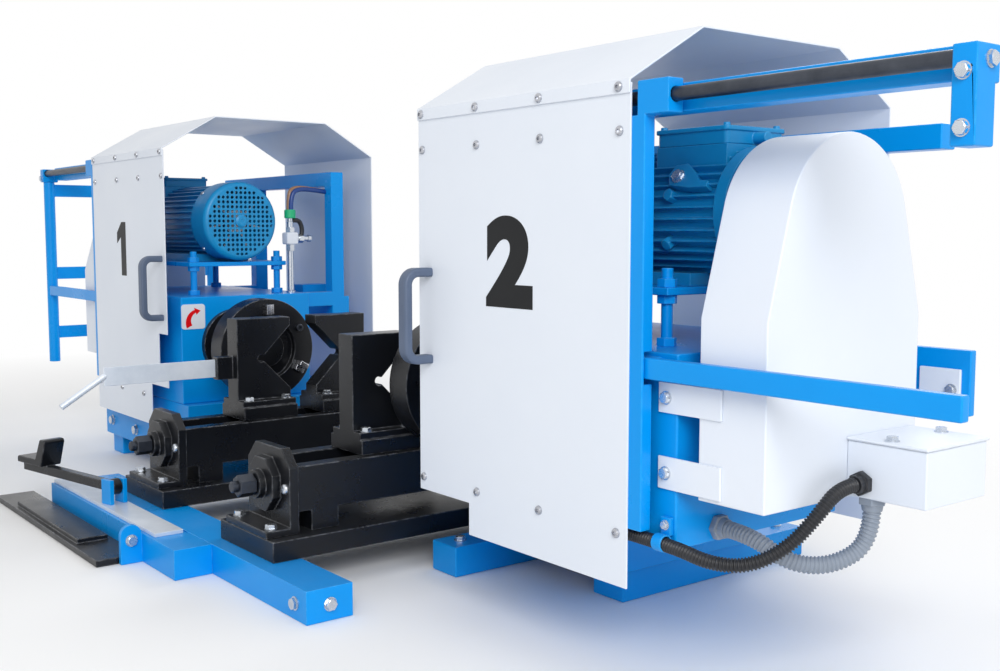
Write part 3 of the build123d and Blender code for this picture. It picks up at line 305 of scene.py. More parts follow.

# %% [markdown]
# ## Finishes of this machine
# The frames are a bright gloss blue, the motor castings a duller teal, the sheet a cool white, and the clamps
# black with bright edges, partly worn and partly a painted highlight. One dictionary holds them under the
# names in the record, so a change here reaches every piece. Galvanised sheet is duller and paler than a
# plated bolt, so the pull bar and the treadle's strip have a finish of their own.

# %% Mix the finishes
FINISH = {
    # Each paint's third colour is its edge tone: worn paint, and a painted highlight on the edges.
    "frame_blue": painted("frame_blue", (0, 150, 232), (0, 138, 220), (110, 200, 244), 0.3, wear_and_highlight=0.6,
                          coat=0.05, shine=0.22),
    "motor_teal": painted("motor_teal", (18, 144, 202), (8, 122, 180), (124, 192, 222), 0.36, wear_and_highlight=0.45,
                          peel=0.3, cloud=14.0, shine=0.4),
    "sheet_white": painted("sheet_white", (226, 232, 241), (218, 225, 236), (240, 244, 250), 0.36, wear_and_highlight=0.6,
                           dust=0.03, peel=0.2, cloud=3.0),
    "black_paint": painted("black_paint", (18, 20, 25), (11, 13, 17), (196, 200, 208), 0.28, wear_and_highlight=0.85,
                           dust=0.06, peel=0.3, cloud=11.0, shine=0.35),
    "zinc_steel": bare_metal("zinc_steel", (214, 219, 226), (188, 194, 202), 0.24, metal=0.9),
    "bright_steel": bare_metal("bright_steel", (196, 198, 204), (172, 174, 180), 0.26, stretch=DRAWN),
    "dark_steel": bare_metal("dark_steel", (84, 88, 96), (64, 68, 76), 0.4, stretch=DRAWN),
    "cast_iron": bare_metal("cast_iron", (96, 98, 102), (74, 76, 80), 0.5, scratch=0.3),
    "belt_rubber": moulded("belt_rubber", (30, 31, 34), (52, 53, 56), 0.75, grain=0.4),
    "handle_grey": moulded("handle_grey", (78, 92, 116), (104, 118, 142), 0.5),
    "conduit_black": moulded("conduit_black", (24, 25, 29), (58, 60, 66), 0.4),
    "conduit_grey": moulded("conduit_grey", (128, 138, 152), (168, 176, 188), 0.42),
}
GALVANISED = bare_metal("galvanised_sheet", (226, 233, 242), (208, 217, 228), 0.36, metal=0.25)
OWN_FINISH = {"pull_bar": GALVANISED, "treadle_strip": GALVANISED}
print(len(FINISH), "finishes:", ", ".join(FINISH))

# %% [markdown]
# ## Floor and light
# The machine stands on a plain pale floor in even studio light. A dome of soft light fills every side, and
# two large lamps give the sheet metal its slow gradients. The floor fades into the white of the room, so no
# horizon cuts behind the machine, and it keeps the shadow under it.

# %% Set the stage
ROOM_LIGHT = 0.62
WHITE = (1.0, 1.0, 1.0, 1.0)
FLOOR_SIZE = 16.0
FLOOR_DROP = 0.5
FLOOR_FADE = (2.2, 4.2)
FLOOR_COLOUR = (0.93, 0.93, 0.93, 1.0)
FLOOR_ROUGHNESS = 0.85
LAMP_SIZE = 3.0
LAMPS = {
    "key_lamp": ((4.8, -2.6, 3.0), (0.2, 0.0, 0.4), 190),
    "back_lamp": ((-1.0, 4.0, 3.4), (0.0, 0.0, 0.5), 70),
}


def soft_lamp(name, at, aim, power):
    data = bpy.data.lights.new(name, "AREA")
    data.shape = "DISK"
    data.size = LAMP_SIZE
    data.energy = power
    lamp = linked(name, data)
    lamp.location = at
    lamp.rotation_euler = (Vector(aim) - Vector(at)).to_track_quat("-Z", "Y").to_euler()


def white_where_seen(tree, plain, seen):
    """One strength for the light that a surface gets, another for what the lens or a reflection sees."""
    path = node(tree, "ShaderNodeLightPath").outputs
    shown = math_node(tree, "MAXIMUM", path["Is Camera Ray"], path["Is Glossy Ray"])
    shown = math_node(tree, "MAXIMUM", shown, path["Is Transmission Ray"])
    return spread(tree, shown, 0.0, 1.0, plain, seen)


def room():
    world = bpy.data.worlds.new("studio")
    world.use_nodes = True
    bpy.context.scene.world = world
    tree = world.node_tree
    light = white_where_seen(tree, ROOM_LIGHT, 1.0)
    fill(tree, tree.nodes["Background"], {"Color": WHITE, "Strength": light})


def floor():
    mesh = bpy.data.meshes.new("studio_floor")
    half = FLOOR_SIZE / 2
    corners = [(-half, -half), (half, -half), (half, half), (-half, half)]
    mesh.from_pydata([(x, y, -FLOOR_DROP * MM) for x, y in corners], [], [(0, 1, 2, 3)])
    material, tree, shader = blank("studio_floor")
    fill(tree, shader, {"Base Color": FLOOR_COLOUR, "Roughness": FLOOR_ROUGHNESS})
    place = node(tree, "ShaderNodeTexCoord").outputs["Object"]
    far = node(tree, "ShaderNodeVectorMath", {0: place}, operation="LENGTH").outputs["Value"]
    glow = node(tree, "ShaderNodeEmission", {"Strength": white_where_seen(tree, ROOM_LIGHT, 1.0)})
    mixed = node(tree, "ShaderNodeMixShader", {0: spread(tree, far, *FLOOR_FADE), 1: shader.outputs[0],
                                               2: glow.outputs[0]})
    fill(tree, tree.nodes["Material Output"], {"Surface": mixed.outputs[0]})
    mesh.materials.append(material)
    plane = linked("studio_floor", mesh)


room()
floor()
for name, (at, aim, power) in LAMPS.items():
    soft_lamp(name, at, aim, power)
bpy.context.scene.view_settings.view_transform = "Standard"
print("stage set with", len(LAMPS), "lamps")

# %% [markdown]
# ## Easing the edges
# A solid from a drawing has edges like knives, and light never catches them. The frame's own meshes stay as
# they are, so each node with edges to show gets a copy: the loose triangles are joined, flat areas lose their
# inner edges, and a Bevel rounds what is left. Weighted normals keep the large faces flat in the light.

# %% Helpers for pieces
MERGE = 1e-5
FLAT_ANGLE = math.radians(0.6)
FOLD_ANGLE = math.radians(24)
EASING_STEPS = 2


def merged_copy(name):
    """A copy of a node's mesh with its triangles joined."""
    form = bmesh.new()
    form.from_mesh(NODES[name].data)
    bmesh.ops.remove_doubles(form, verts=form.verts, dist=MERGE)
    bmesh.ops.dissolve_limit(form, angle_limit=FLAT_ANGLE, verts=form.verts, edges=form.edges)
    return form


def as_mesh(form, name):
    mesh = bpy.data.meshes.new(name)
    form.to_mesh(mesh)
    form.free()
    return mesh


def realised(holder):
    """The mesh that an object's modifiers give, with the object itself removed."""
    bpy.context.view_layer.update()
    graph = bpy.context.evaluated_depsgraph_get()
    mesh = bpy.data.meshes.new_from_object(holder.evaluated_get(graph))
    bpy.data.objects.remove(holder)
    return mesh


def holder_of(data):
    return linked("holder", data)


def eased(mesh, width_mm):
    """The mesh with its folds and corners rounded, or only shaded smooth where the width is nothing."""
    for face in mesh.polygons:
        face.use_smooth = True
    if not width_mm:
        mesh.set_sharp_from_angle(angle=FOLD_ANGLE)
        return mesh
    made = holder_of(mesh)
    bevel = made.modifiers.new("ease", "BEVEL")
    bevel.width = width_mm * MM
    bevel.segments = EASING_STEPS
    bevel.limit_method = "ANGLE"
    bevel.angle_limit = FOLD_ANGLE
    bevel.use_clamp_overlap = False
    made.modifiers.new("flat_faces", "WEIGHTED_NORMAL").keep_sharp = True
    return realised(made)


def add_piece(name, mesh, body, slot, replaced=(), finish=None):
    """A finished piece that rides on a body, in a finish of the record."""
    mesh.name = name
    mesh.materials.clear()
    mesh.materials.append(finish or FINISH[slot])
    mesh.polygons.foreach_set("material_index", [0] * len(mesh.polygons))
    made = linked(name, mesh)
    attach(made, body)
    if replaced:
        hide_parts(*replaced)


def dress(name, width_mm):
    mesh = eased(as_mesh(merged_copy(name), name), width_mm)
    add_piece(name + "_dressed", mesh, BODY_OF[name], SLOT_OF[name], [name], OWN_FINISH.get(name))


print("piece helpers ready")

# %% [markdown]
# ## How round each edge is
# A thick plate is ground to a visible round and a thin sheet only loses its burr, so one width for all would
# swell the sheet or leave the plates sharp. The nodes are listed by width instead. Cowls, handles and shafts
# are round already, and are only shaded smooth.

# %% Dress the nodes
def sides(*names):
    return [name + side for name in names for side in ("_a", "_b")]


EASING_MM = {
    3.0: ["base_a", "base_b", *sides("column")],
    2.5: [*sides("rail_frame", "belt_guard"), "foot_lever", "junction_boxes"],
    2.0: ["clamp_bases", "clamp_beds", "clamp_brackets", "pedal_plate", *sides("guard_slider", "motor_plate"),
          *sides("front_jaw", "rear_jaw")],
    1.5: ["end_gate", "guide_rods", "belt_guard_straps", *sides("terminal_box", "spindle_housing")],
    1.0: ["motor_studs", "pull_bar", "floor_rails", *sides("motor_body")],
    0.8: ["treadle_strip", *sides("guard_panel", "guard_roof", "spindle")],
    0.0: [*sides("fan_cowl", "guard_handle", "spindle_pulley", "motor_shaft")],
}
for width, names in EASING_MM.items():
    for name in names:
        dress(name, width)
for name, made in NODES.items():
    made.data.materials.clear()
    made.data.materials.append(FINISH[SLOT_OF[name]])
print(sum(len(names) for names in EASING_MM.values()), "nodes dressed")

# %% [markdown]
# ## Turned pieces, blocks and plates
# Bolts, glands, washers and pipe fittings come off a lathe, so one function sweeps an outline of radius and
# height round an axis. A ring of the outline may be a hexagon, which gives bolt heads and sockets. Two more
# make blocks and cut plates. A plate's faces are written out, because Extrude may order them anew each run.

# %% Helpers for turned pieces
def turned(outline, at=(0.0, 0.0, 0.0), axis=(0.0, 0.0, 1.0), steps=36):
    """A form from (radius, height) rings in mm, set at a point in mm. A third value makes a hexagon."""
    form = bmesh.new()
    rings = []
    for radius, height, *hexagon in outline:
        ring = []
        for i in range(steps if radius else 1):
            turn = math.tau * i / steps
            flat = math.cos((turn + math.pi / 6) % (math.pi / 3) - math.pi / 6) if hexagon else 1.0
            reach = radius / flat
            ring.append(form.verts.new((reach * math.cos(turn), reach * math.sin(turn), height)))
        rings.append(ring)
    for low, high in zip(rings, rings[1:]):
        for i in range(steps):
            after = i + 1
            corners = low[i % len(low)], low[after % len(low)], high[after % len(high)], high[i % len(high)]
            form.faces.new(list(dict.fromkeys(corners)))
    turn = Vector((0, 0, 1)).rotation_difference(Vector(axis)).to_matrix().to_4x4()
    bmesh.ops.transform(form, matrix=Matrix.Scale(MM, 4) @ Matrix.Translation(at) @ turn, verts=form.verts)
    return form


def block(low, high):
    """A form of a block between two corners in mm."""
    form = bmesh.new()
    low, high = Vector(low) * MM, Vector(high) * MM
    bmesh.ops.create_cube(form, size=1.0, matrix=Matrix.LocRotScale((low + high) / 2, None, high - low))
    return form


def cut_plate(outline, at, across, up, thick):
    """A flat form of (across, up) corners in mm about a point in mm, as thick as asked towards the viewer."""
    across, up = Vector(across), Vector(up)
    form = bmesh.new()
    corners = [Vector(at) + across * u + up * v for u, v in outline]
    out = across.cross(up) * thick
    back = [form.verts.new(corner * MM) for corner in corners]
    front = [form.verts.new((corner + out) * MM) for corner in corners]
    form.faces.new(back)
    form.faces.new(front)
    for i in range(len(corners)):
        form.faces.new((back[i - 1], back[i], front[i], front[i - 1]))
    bmesh.ops.recalc_face_normals(form, faces=form.faces)
    return form


print("helpers for turned pieces ready")

# %% [markdown]
# ## Joining and parting
# A piece with many small features stays one mesh, so its forms are joined. A node may also hold many solids,
# such as all the screws of a guard. A walk from corner to corner finds each solid, as Separate by Loose Parts
# does in the editor.

# %% Helpers to join and part
def joined(forms):
    whole = bmesh.new()
    for form in forms:
        mesh = as_mesh(form, "form")
        whole.from_mesh(mesh)
        bpy.data.meshes.remove(mesh)
    return whole


def add_form(name, form, ease_mm, body, slot, replaced=(), finish=None):
    add_piece(name, eased(as_mesh(form, name), ease_mm), body, slot, replaced, finish)


def parted(name):
    """The separate solids of a node as forms, the largest first."""
    whole = merged_copy(name)
    whole.verts.index_update()
    forms, left = [], set(whole.verts)
    while left:
        queue = [left.pop()]
        found = set()
        while queue:
            vert = queue.pop()
            found.add(vert.index)
            near = {edge.other_vert(vert) for edge in vert.link_edges} & left
            left -= near
            queue += near
        form = whole.copy()
        bmesh.ops.delete(form, geom=[v for v in form.verts if v.index not in found], context="VERTS")
        forms.append(form)
    whole.free()

    def size_and_place(form):
        return form.calc_volume(), min(vert.co[:] for vert in form.verts)

    return sorted(forms, key=size_and_place, reverse=True)


def islands(name):
    """The lowest and highest corner of each separate solid of a node."""
    boxes = []
    for form in parted(name):
        places = [vert.co.copy() for vert in form.verts]
        boxes.append((Vector(map(min, zip(*places))), Vector(map(max, zip(*places)))))
        form.free()
    return boxes


print("helpers to join and part ready")

# %% [markdown]
# ## Fasteners
# The machine is held by hexagon bolts on washers, and by button heads and cap screws with a hexagon socket. A
# tree of geometry nodes puts one head on every point of a small mesh and turns it the way the point faces.
# Each head also gets its own turn about its axis, because no fitter lines them up. Heads set one by one would
# look the same, but each would have to be placed and turned by hand.

# %% Build the fastener tree
def geometry_tree(name, inputs):
    """A tree with a geometry input and output and the named inputs between them."""
    tree = bpy.data.node_groups.new(name, "GeometryNodeTree")
    tree.interface.new_socket("Geometry", in_out="INPUT", socket_type="NodeSocketGeometry")
    for title, kind in inputs.items():
        tree.interface.new_socket(title, in_out="INPUT", socket_type="NodeSocket" + kind)
    tree.interface.new_socket("Geometry", in_out="OUTPUT", socket_type="NodeSocketGeometry")
    return tree, node(tree, "NodeGroupInput").outputs


def close_tree(tree, geometry, finish):
    """The end that every tree has: instances made real, and the finish set."""
    real = node(tree, "GeometryNodeRealizeInstances", {"Geometry": geometry})
    done = node(tree, "GeometryNodeSetMaterial", {"Geometry": real.outputs[0], "Material": finish})
    node(tree, "NodeGroupOutput", {0: done.outputs[0]})


def run_tree(holder, tree, **values):
    """The mesh that a tree makes of an object, with the tree's inputs given by their names."""
    modifier = holder.modifiers.new(tree.name, "NODES")
    modifier.node_group = tree
    for item in tree.interface.items_tree:
        if item.in_out == "INPUT" and item.name in values:
            modifier[item.identifier] = values[item.name]
    return realised(holder)


def fastener_tree():
    tree, asked = geometry_tree("set_fasteners", {"Head": "Object", "Size": "Float", "Seed": "Int",
                                                  "Finish": "Material"})
    head = node(tree, "GeometryNodeObjectInfo", {"Object": asked["Head"]})
    facing = node(tree, "GeometryNodeInputNamedAttribute", {"Name": "facing"}, data_type="FLOAT_VECTOR")
    aim = node(tree, "FunctionNodeAlignRotationToVector", {"Vector": facing.outputs[0]}, axis="Z")
    heads = node(tree, "GeometryNodeInstanceOnPoints",
                 {"Points": asked["Geometry"], "Instance": head.outputs["Geometry"],
                  "Rotation": aim.outputs[0], "Scale": asked["Size"]})
    spin = node(tree, "FunctionNodeRandomValue", {"Max": (0.0, 0.0, math.tau), "Seed": asked["Seed"]},
                data_type="FLOAT_VECTOR")
    turned_heads = node(tree, "GeometryNodeRotateInstances",
                        {"Instances": heads.outputs[0], "Rotation": spin.outputs[0], "Local Space": True})
    close_tree(tree, turned_heads.outputs[0], asked["Finish"])
    return tree


FASTENERS = fastener_tree()
HEADS = {
    "hex_bolt": [(0, 0), (12.5, 0), (12.5, 2.0), (9.5, 2.0, True), (9.5, 8.2, True), (8.8, 9.2), (0, 9.2)],
    "button": [(0, 0), (8, 0), (8, 1.0), (7.3, 2.9), (5.9, 4.2), (4.4, 4.7), (3.0, 4.7, True),
               (3.0, 1.8, True), (0, 1.8)],
    "cap": [(0, 0), (8, 0), (8, 7.2), (7.3, 8.0), (3.8, 8.0, True), (3.8, 3.6, True), (0, 3.6)],
}
HEAD_OBJECTS = {kind: holder_of(eased(as_mesh(turned(outline), kind), 0)) for kind, outline in HEADS.items()}
AXES = {"+x": (1, 0, 0), "-x": (-1, 0, 0), "-y": (0, -1, 0), "+z": (0, 0, 1)}


def fasteners(name, kind, places, body, slot, size=1.0, replaced=(), seed=1, finish=None):
    """Heads of one kind at places in mm. Each faces along an axis, given by its name or as a direction."""
    mesh = bpy.data.meshes.new(name)
    mesh.from_pydata([Vector(place) * MM for place, _ in places], [], [])
    facing = mesh.attributes.new("facing", "FLOAT_VECTOR", "POINT")
    facing.data.foreach_set("vector", [part for _, axis in places for part in AXES.get(axis, axis)])
    made = run_tree(holder_of(mesh), FASTENERS, Head=HEAD_OBJECTS[kind], Size=size, Seed=seed,
                    Finish=finish or FINISH[slot])
    add_piece(name, made, body, slot, replaced, finish)


def seat_of(low, high):
    """A bolt's seat in mm and the way it faces, from its box: its head is flattest along its axis."""
    middle = (low + high) / 2
    flattest = min(range(3), key=lambda k: high[k] - low[k])
    axis = ("+x", "-y", "+z")[flattest]
    middle[flattest] = high[1] if axis == "-y" else low[flattest]
    return middle / MM, axis


print("heads:", ", ".join(HEADS))

# %% [markdown]
# ## Bolts that the solids have
# In the solids, the guards' screws and the bases' bolts are plain discs and hexagons. The box of each says
# where it sits and which way it faces, so the full head lands on the same seat.

# %% Set the fasteners that the solids have
GUARD_SCREW_SIZE = 0.95
for side in "ab":
    node_name = "guard_screws_" + side
    places = [seat_of(*box) for box in islands(node_name)]
    fasteners(node_name + "_heads", "button", places, BODY_OF[node_name], "dark_steel", GUARD_SCREW_SIZE,
              [node_name], finish=FINISH["bright_steel"])
    print(node_name, len(places), "button heads")
places = [seat_of(*box) for box in islands("base_bolts")]
fasteners("base_bolt_heads", "hex_bolt", places, BODY_OF["base_bolts"], "zinc_steel",
          replaced=["base_bolts"])
print("base_bolts", len(places), "hexagon bolts")

# %% [markdown]
# ## Bolts of the jaws
# Each jaw shows four hexagon bolts on top. The solids leave them out, so they are added here, and they ride
# on the jaw's own body.

# %% Bolt the jaws
CLAMP_MIDDLE = {side: middle_mm("clamp_screw_" + side).x for side in "ab"}
JAW_BOLT_X = 42.0
JAW_BOLT_Y = (57.0, 153.0)
JAW_BOLT_Z = 272.3
JAW_BOLT_SIZE = 0.98
for side, middle in CLAMP_MIDDLE.items():
    for name, way in (("front", -1), ("rear", 1)):
        places = [((middle + sign * JAW_BOLT_X, way * y, JAW_BOLT_Z), "+z")
                  for sign in (-1, 1) for y in JAW_BOLT_Y]
        fasteners(f"jaw_bolts_{name}_{side}", "hex_bolt", places, f"clamp_{side}_{name}", "zinc_steel",
                  JAW_BOLT_SIZE, seed=2)
print(len(places), "bolts on each jaw")

# %% [markdown]
# ## Bolts of the frame
# More bolts show on the belt guards' straps, the rails' end blocks, the junction boxes' lids and the front of
# base A, and a strap plate is bolted to the rear bar of head B. The tree takes as many places as it is given,
# so bolts of one size are one piece.

# %% Bolt the frame
COLUMN_B_LOW, COLUMN_B_HIGH = box_mm("column_b")
STRAP_T = 4.0
STRAP_BOLTS = [(1172.0, 326.0), (1172.0, 436.0)]
END_FACE = -187.0
END_BOLT = (1635.0, 847.0)
LOW_END_BOLT = (1635.0, 786.0)
END_CAP_BOLT = (-161.0, 860.0)
LID_TOP = 385.0
LID_BOLTS = [(1412.0, 44.0), (1412.0, 166.0)]
REAR_STRAP = ((1262.0, 344.0, 410.0), (1335.0, 350.0, 455.0))
REAR_STRAP_BOLT = (1320.0, 344.0, 421.0)
REAR_STRAP_EASE = 2.0
FRAME_BOLT_SIZE = 0.8


def on_face(y, place):
    """A bolt that faces the operator, from its x and z in mm."""
    x, z = place
    return (x, y, z), "-y"


end_x = box_mm("rail_frame_b")[1].x
places = []
for sign in (-1, 1):
    places += [on_face(COLUMN_B_LOW.y - STRAP_T, (sign * x, z)) for x, z in STRAP_BOLTS]
    places += [on_face(END_FACE, (sign * END_BOLT[0], END_BOLT[1]))]
    places += [((sign * x, y, LID_TOP), "+z") for x, y in LID_BOLTS]
places += [on_face(END_FACE, LOW_END_BOLT)]
places += [((end_x, *END_CAP_BOLT), "+x"), ((-end_x, *END_CAP_BOLT), "-x"), (REAR_STRAP_BOLT, "-y")]
fasteners("frame_bolts", "hex_bolt", places, "machine", "zinc_steel", FRAME_BOLT_SIZE, seed=3)
add_form("rear_strap", block(*REAR_STRAP), REAR_STRAP_EASE, "machine", "sheet_white")
print(len(places), "bolts on straps, end blocks and lids")

BASE_FRONT_BOLTS = [(60.0, 105.0), (250.0, 100.0)]
BASE_FRONT_BOLT_SIZE = 1.2
base_low = box_mm("base_a")[0]
places = [on_face(base_low.y, (base_low.x + x, z)) for x, z in BASE_FRONT_BOLTS]
fasteners("base_front_bolts", "hex_bolt", places, BODY_OF["base_a"], "zinc_steel", BASE_FRONT_BOLT_SIZE,
          seed=4)
print(len(places), "bolts on the front of base A")

# %% [markdown]
# ## Conduits
# Two hoses carry the cables of head B from its column to the junction box: a black one with rings and a grey
# one with a spiral wall. A bump in the material would leave the outline smooth, so the wall is real. The tree
# walks along a curve in small steps, and the radius swings between root and crest. For the spiral the phase
# also runs round the hose, which turns rings into a screw.

# %% Build the hose tree
STEPS_PER_PITCH = 8.0
HOSE_SIDES = 26
BLANK_R = 0.01
SWING_HELD = 0.6


def kept_value(tree, geometry, name, value, kind):
    made = node(tree, "GeometryNodeStoreNamedAttribute", {"Geometry": geometry, "Name": name, "Value": value},
                data_type=kind)
    return made.outputs[0]


def read_value(tree, name, kind):
    return node(tree, "GeometryNodeInputNamedAttribute", {"Name": name}, data_type=kind).outputs[0]


def vector_node(tree, operation, sockets):
    return node(tree, "ShaderNodeVectorMath", sockets, operation=operation).outputs[0]


def hose_tree():
    tree, asked = geometry_tree("ribbed_hose", {"Crest": "Float", "Root": "Float", "Pitch": "Float",
                                                "Twist": "Float", "Finish": "Material"})
    step = math_node(tree, "DIVIDE", asked["Pitch"], STEPS_PER_PITCH)
    line = node(tree, "GeometryNodeResampleCurve", {"Curve": asked["Geometry"], "Length": step},
                mode="LENGTH")
    here = node(tree, "GeometryNodeInputPosition").outputs[0]
    walked = node(tree, "GeometryNodeSplineParameter").outputs
    line = kept_value(tree, line.outputs[0], "along", walked["Length"], "FLOAT")
    line = kept_value(tree, line, "centre", here, "FLOAT_VECTOR")
    rim = node(tree, "GeometryNodeCurvePrimitiveCircle", {"Resolution": HOSE_SIDES, "Radius": BLANK_R})
    rim = kept_value(tree, rim.outputs[0], "around", walked["Factor"], "FLOAT")
    wall = node(tree, "GeometryNodeCurveToMesh", {"Curve": line, "Profile Curve": rim, "Fill Caps": True})
    rings = math_node(tree, "DIVIDE", read_value(tree, "along", "FLOAT"), asked["Pitch"])
    screw = math_node(tree, "MULTIPLY", read_value(tree, "around", "FLOAT"), asked["Twist"])
    phase = math_node(tree, "MULTIPLY", math_node(tree, "ADD", rings, screw), math.tau)
    swing = math_node(tree, "SINE", phase)
    radius = spread(tree, swing, -SWING_HELD, SWING_HELD, asked["Root"], asked["Crest"])
    centre = read_value(tree, "centre", "FLOAT_VECTOR")
    way = vector_node(tree, "NORMALIZE", {0: vector_node(tree, "SUBTRACT", {0: here, 1: centre})})
    out = vector_node(tree, "SCALE", {0: way, "Scale": radius})
    place = vector_node(tree, "ADD", {0: centre, 1: out})
    wall = node(tree, "GeometryNodeSetPosition", {"Geometry": wall.outputs[0], "Position": place})
    smooth = node(tree, "GeometryNodeSetShadeSmooth", {"Geometry": wall.outputs[0]})
    close_tree(tree, smooth.outputs[0], asked["Finish"])
    return tree


HOSE = hose_tree()
print("tree", HOSE.name, "with", len(HOSE.nodes), "nodes")

# %% [markdown]
# ## Routes of the conduits
# A hose of this kind never bends in a corner, so its route is one smooth spline through the air, from a gland
# on the column to a gland on the box. Its points are listed, and x counts from the column's outer face.

# %% Route the conduits
ROUTE_STEPS = 24
ROUTE_ORDER = 3
BLACK_ROUTE = [(-126, -165, 226), (10, -165, 226), (72, -160, 214), (122, -134, 216), (158, -96, 244),
               (180, -62, 288), (186, -26, 322), (186, 16, 322)]
GREY_ROUTE = [(14, -60, 236), (64, -60, 236), (116, -40, 202), (158, 6, 200), (189, 50, 234), (189, 50, 286)]
BLACK_WALL = {"crest": 10.4, "root": 8.3, "pitch": 5.0, "twist": 0.0}
GREY_WALL = {"crest": 12.8, "root": 11.0, "pitch": 6.0, "twist": 1.0}


def from_column(route):
    return [Vector((COLUMN_B_HIGH.x + x, y, z)) for x, y, z in route]


def route_curve(points):
    data = bpy.data.curves.new("route", "CURVE")
    data.dimensions = "3D"
    data.resolution_u = ROUTE_STEPS
    line = data.splines.new("NURBS")
    line.points.add(len(points) - 1)
    for point, place in zip(line.points, points):
        point.co = (*(place * MM), 1.0)
    line.order_u = ROUTE_ORDER
    line.use_endpoint_u = True
    return holder_of(data)


def hose(name, points, crest, root, pitch, twist, finish):
    """The mesh of a ribbed wall along a smooth spline, with every size in mm."""
    line = route_curve(points)
    print(name, round(line.data.splines[0].calc_length(), 3), "m long")
    return run_tree(line, HOSE, Crest=crest * MM, Root=root * MM, Pitch=pitch * MM, Twist=twist,
                    Finish=finish)


def conduit(name, route, slot, **wall):
    mesh = hose(name, from_column(route), finish=FINISH[slot], **wall)
    add_piece(name + "_hose", mesh, BODY_OF[name], slot, [name])


conduit("black_conduit", BLACK_ROUTE, "conduit_black", **BLACK_WALL)
conduit("grey_conduit", GREY_ROUTE, "conduit_grey", **GREY_WALL)

# %% [markdown]
# ## Glands and clip
# A gland is a nut that clamps a hose where it enters a box. One outline, in shares of its radius and length,
# fits all four. A bent clip holds the black hose to the front of the column, with an ear for its bolt.

# %% Fit the glands and the clip
BLACK_START_GLAND = (14.0, 18.0)
BLACK_END_GLAND = (15.5, 20.0)
GREY_GLAND = (17.5, 20.0)
GLAND_BACK = 14.0
GLAND_EASE = 0.8
HOLDER = 30.0
BOX_FRONT = 30.0
CLIP_INSET = 14.0
CLIP_R = (10.5, 13.0)
CLIP_HALF = 9.0
CLIP_EASE = 0.6
CLIP_BOLT_SIZE = 0.6
EAR_T = 7.0
EAR_RISE = (10.0, 36.0)
EAR_BOLT_RISE = 25.0


def gland(radius, length):
    """A hexagon nut, a collar and a tapered clamping cap, from the seat outwards."""
    return [(0, 0), (radius, 0, True), (radius, length * 0.5, True), (radius * 0.86, length * 0.52),
            (radius * 0.86, length * 0.7), (radius * 0.8, length), (0, length)]


route = from_column(BLACK_ROUTE)
start, end = route[0], route[-1]
holder = block((start.x - GLAND_BACK - HOLDER, COLUMN_B_LOW.y - HOLDER, start.z - HOLDER / 2),
               (start.x - GLAND_BACK, COLUMN_B_LOW.y, start.z + HOLDER / 2))
black_ends = [holder, turned(gland(*BLACK_START_GLAND), start - Vector((GLAND_BACK, 0, 0)), (1, 0, 0)),
              turned(gland(*BLACK_END_GLAND), (end.x, BOX_FRONT, end.z), (0, -1, 0))]
add_form("black_glands", joined(black_ends), GLAND_EASE, "machine", "conduit_black", ["black_conduit"])

clip_x = COLUMN_B_HIGH.x - CLIP_INSET
ear_face = COLUMN_B_LOW.y - EAR_T
inner, outer = CLIP_R
band = [(inner, -CLIP_HALF), (outer, -CLIP_HALF), (outer, CLIP_HALF), (inner, CLIP_HALF), (inner, -CLIP_HALF)]
clip = [turned(band, (clip_x, start.y, start.z), (1, 0, 0)),
        block((clip_x - CLIP_HALF, ear_face, start.z + EAR_RISE[0]),
              (clip_x + CLIP_HALF, COLUMN_B_LOW.y, start.z + EAR_RISE[1]))]
clip_bolt = on_face(ear_face, (clip_x, start.z + EAR_BOLT_RISE))

route = from_column(GREY_ROUTE)
start, end = route[0], route[-1]
grey_ends = [turned(gland(*GREY_GLAND), (COLUMN_B_HIGH.x, start.y, start.z), (1, 0, 0)),
             turned(gland(*GREY_GLAND), (end.x, end.y, box_mm("junction_boxes")[0].z), (0, 0, -1))]
add_form("grey_glands", joined(grey_ends), GLAND_EASE, "machine", "conduit_grey", ["grey_conduit"])
add_form("hose_clip", joined(clip), CLIP_EASE, "machine", "frame_blue")
fasteners("hose_clip_bolt", "hex_bolt", [clip_bolt], "machine", "zinc_steel", CLIP_BOLT_SIZE)
print("4 glands, a holder and a clip")

# %% [markdown]
# ## Numbers on the guards
# A fitter must know which head is which, so each guard carries a large black number of cut film. A font gives
# the two: it becomes a mesh first and is then stood up against the panel, broadened and given the film's
# thickness. The font's one is a bare stick, so that number is cut to an outline of its own.

# %% Stand the numbers on the panels
FILM_MM = 0.4
NUMBER_MM = 150.0
BROADER = 1.2
LETTER_WEIGHT = 0.055
LETTER_HALF = 0.5
ONE_CORNER = (-940.0, 550.0)
TWO_MIDDLE = (852.0, 625.0)
ONE = [(0.2, 0), (0.45, 0), (0.45, 1), (0.24, 1), (0, 0.8), (0, 0.6), (0.2, 0.72)]
FILM_BLACK = film("film_black", (12, 14, 18), (8, 10, 13), 0.4)


def numeral_two(middle):
    data = bpy.data.curves.new("numeral", "FONT")
    data.body = "2"
    data.align_x = "CENTER"
    data.extrude = LETTER_HALF
    data.offset = LETTER_WEIGHT
    mesh = realised(holder_of(data))
    low = min(v.co.y for v in mesh.vertices)
    high = max(v.co.y for v in mesh.vertices)
    size = NUMBER_MM / (high - low)
    for vert in mesh.vertices:
        across, up, out = vert.co
        up -= (low + high) / 2
        vert.co = Vector((across * size * BROADER, -FILM_MM * (out + LETTER_HALF), up * size))
        vert.co = (vert.co + Vector(middle)) * MM
    add_piece("number_2", mesh, "guard_b", "black_paint", finish=FILM_BLACK)


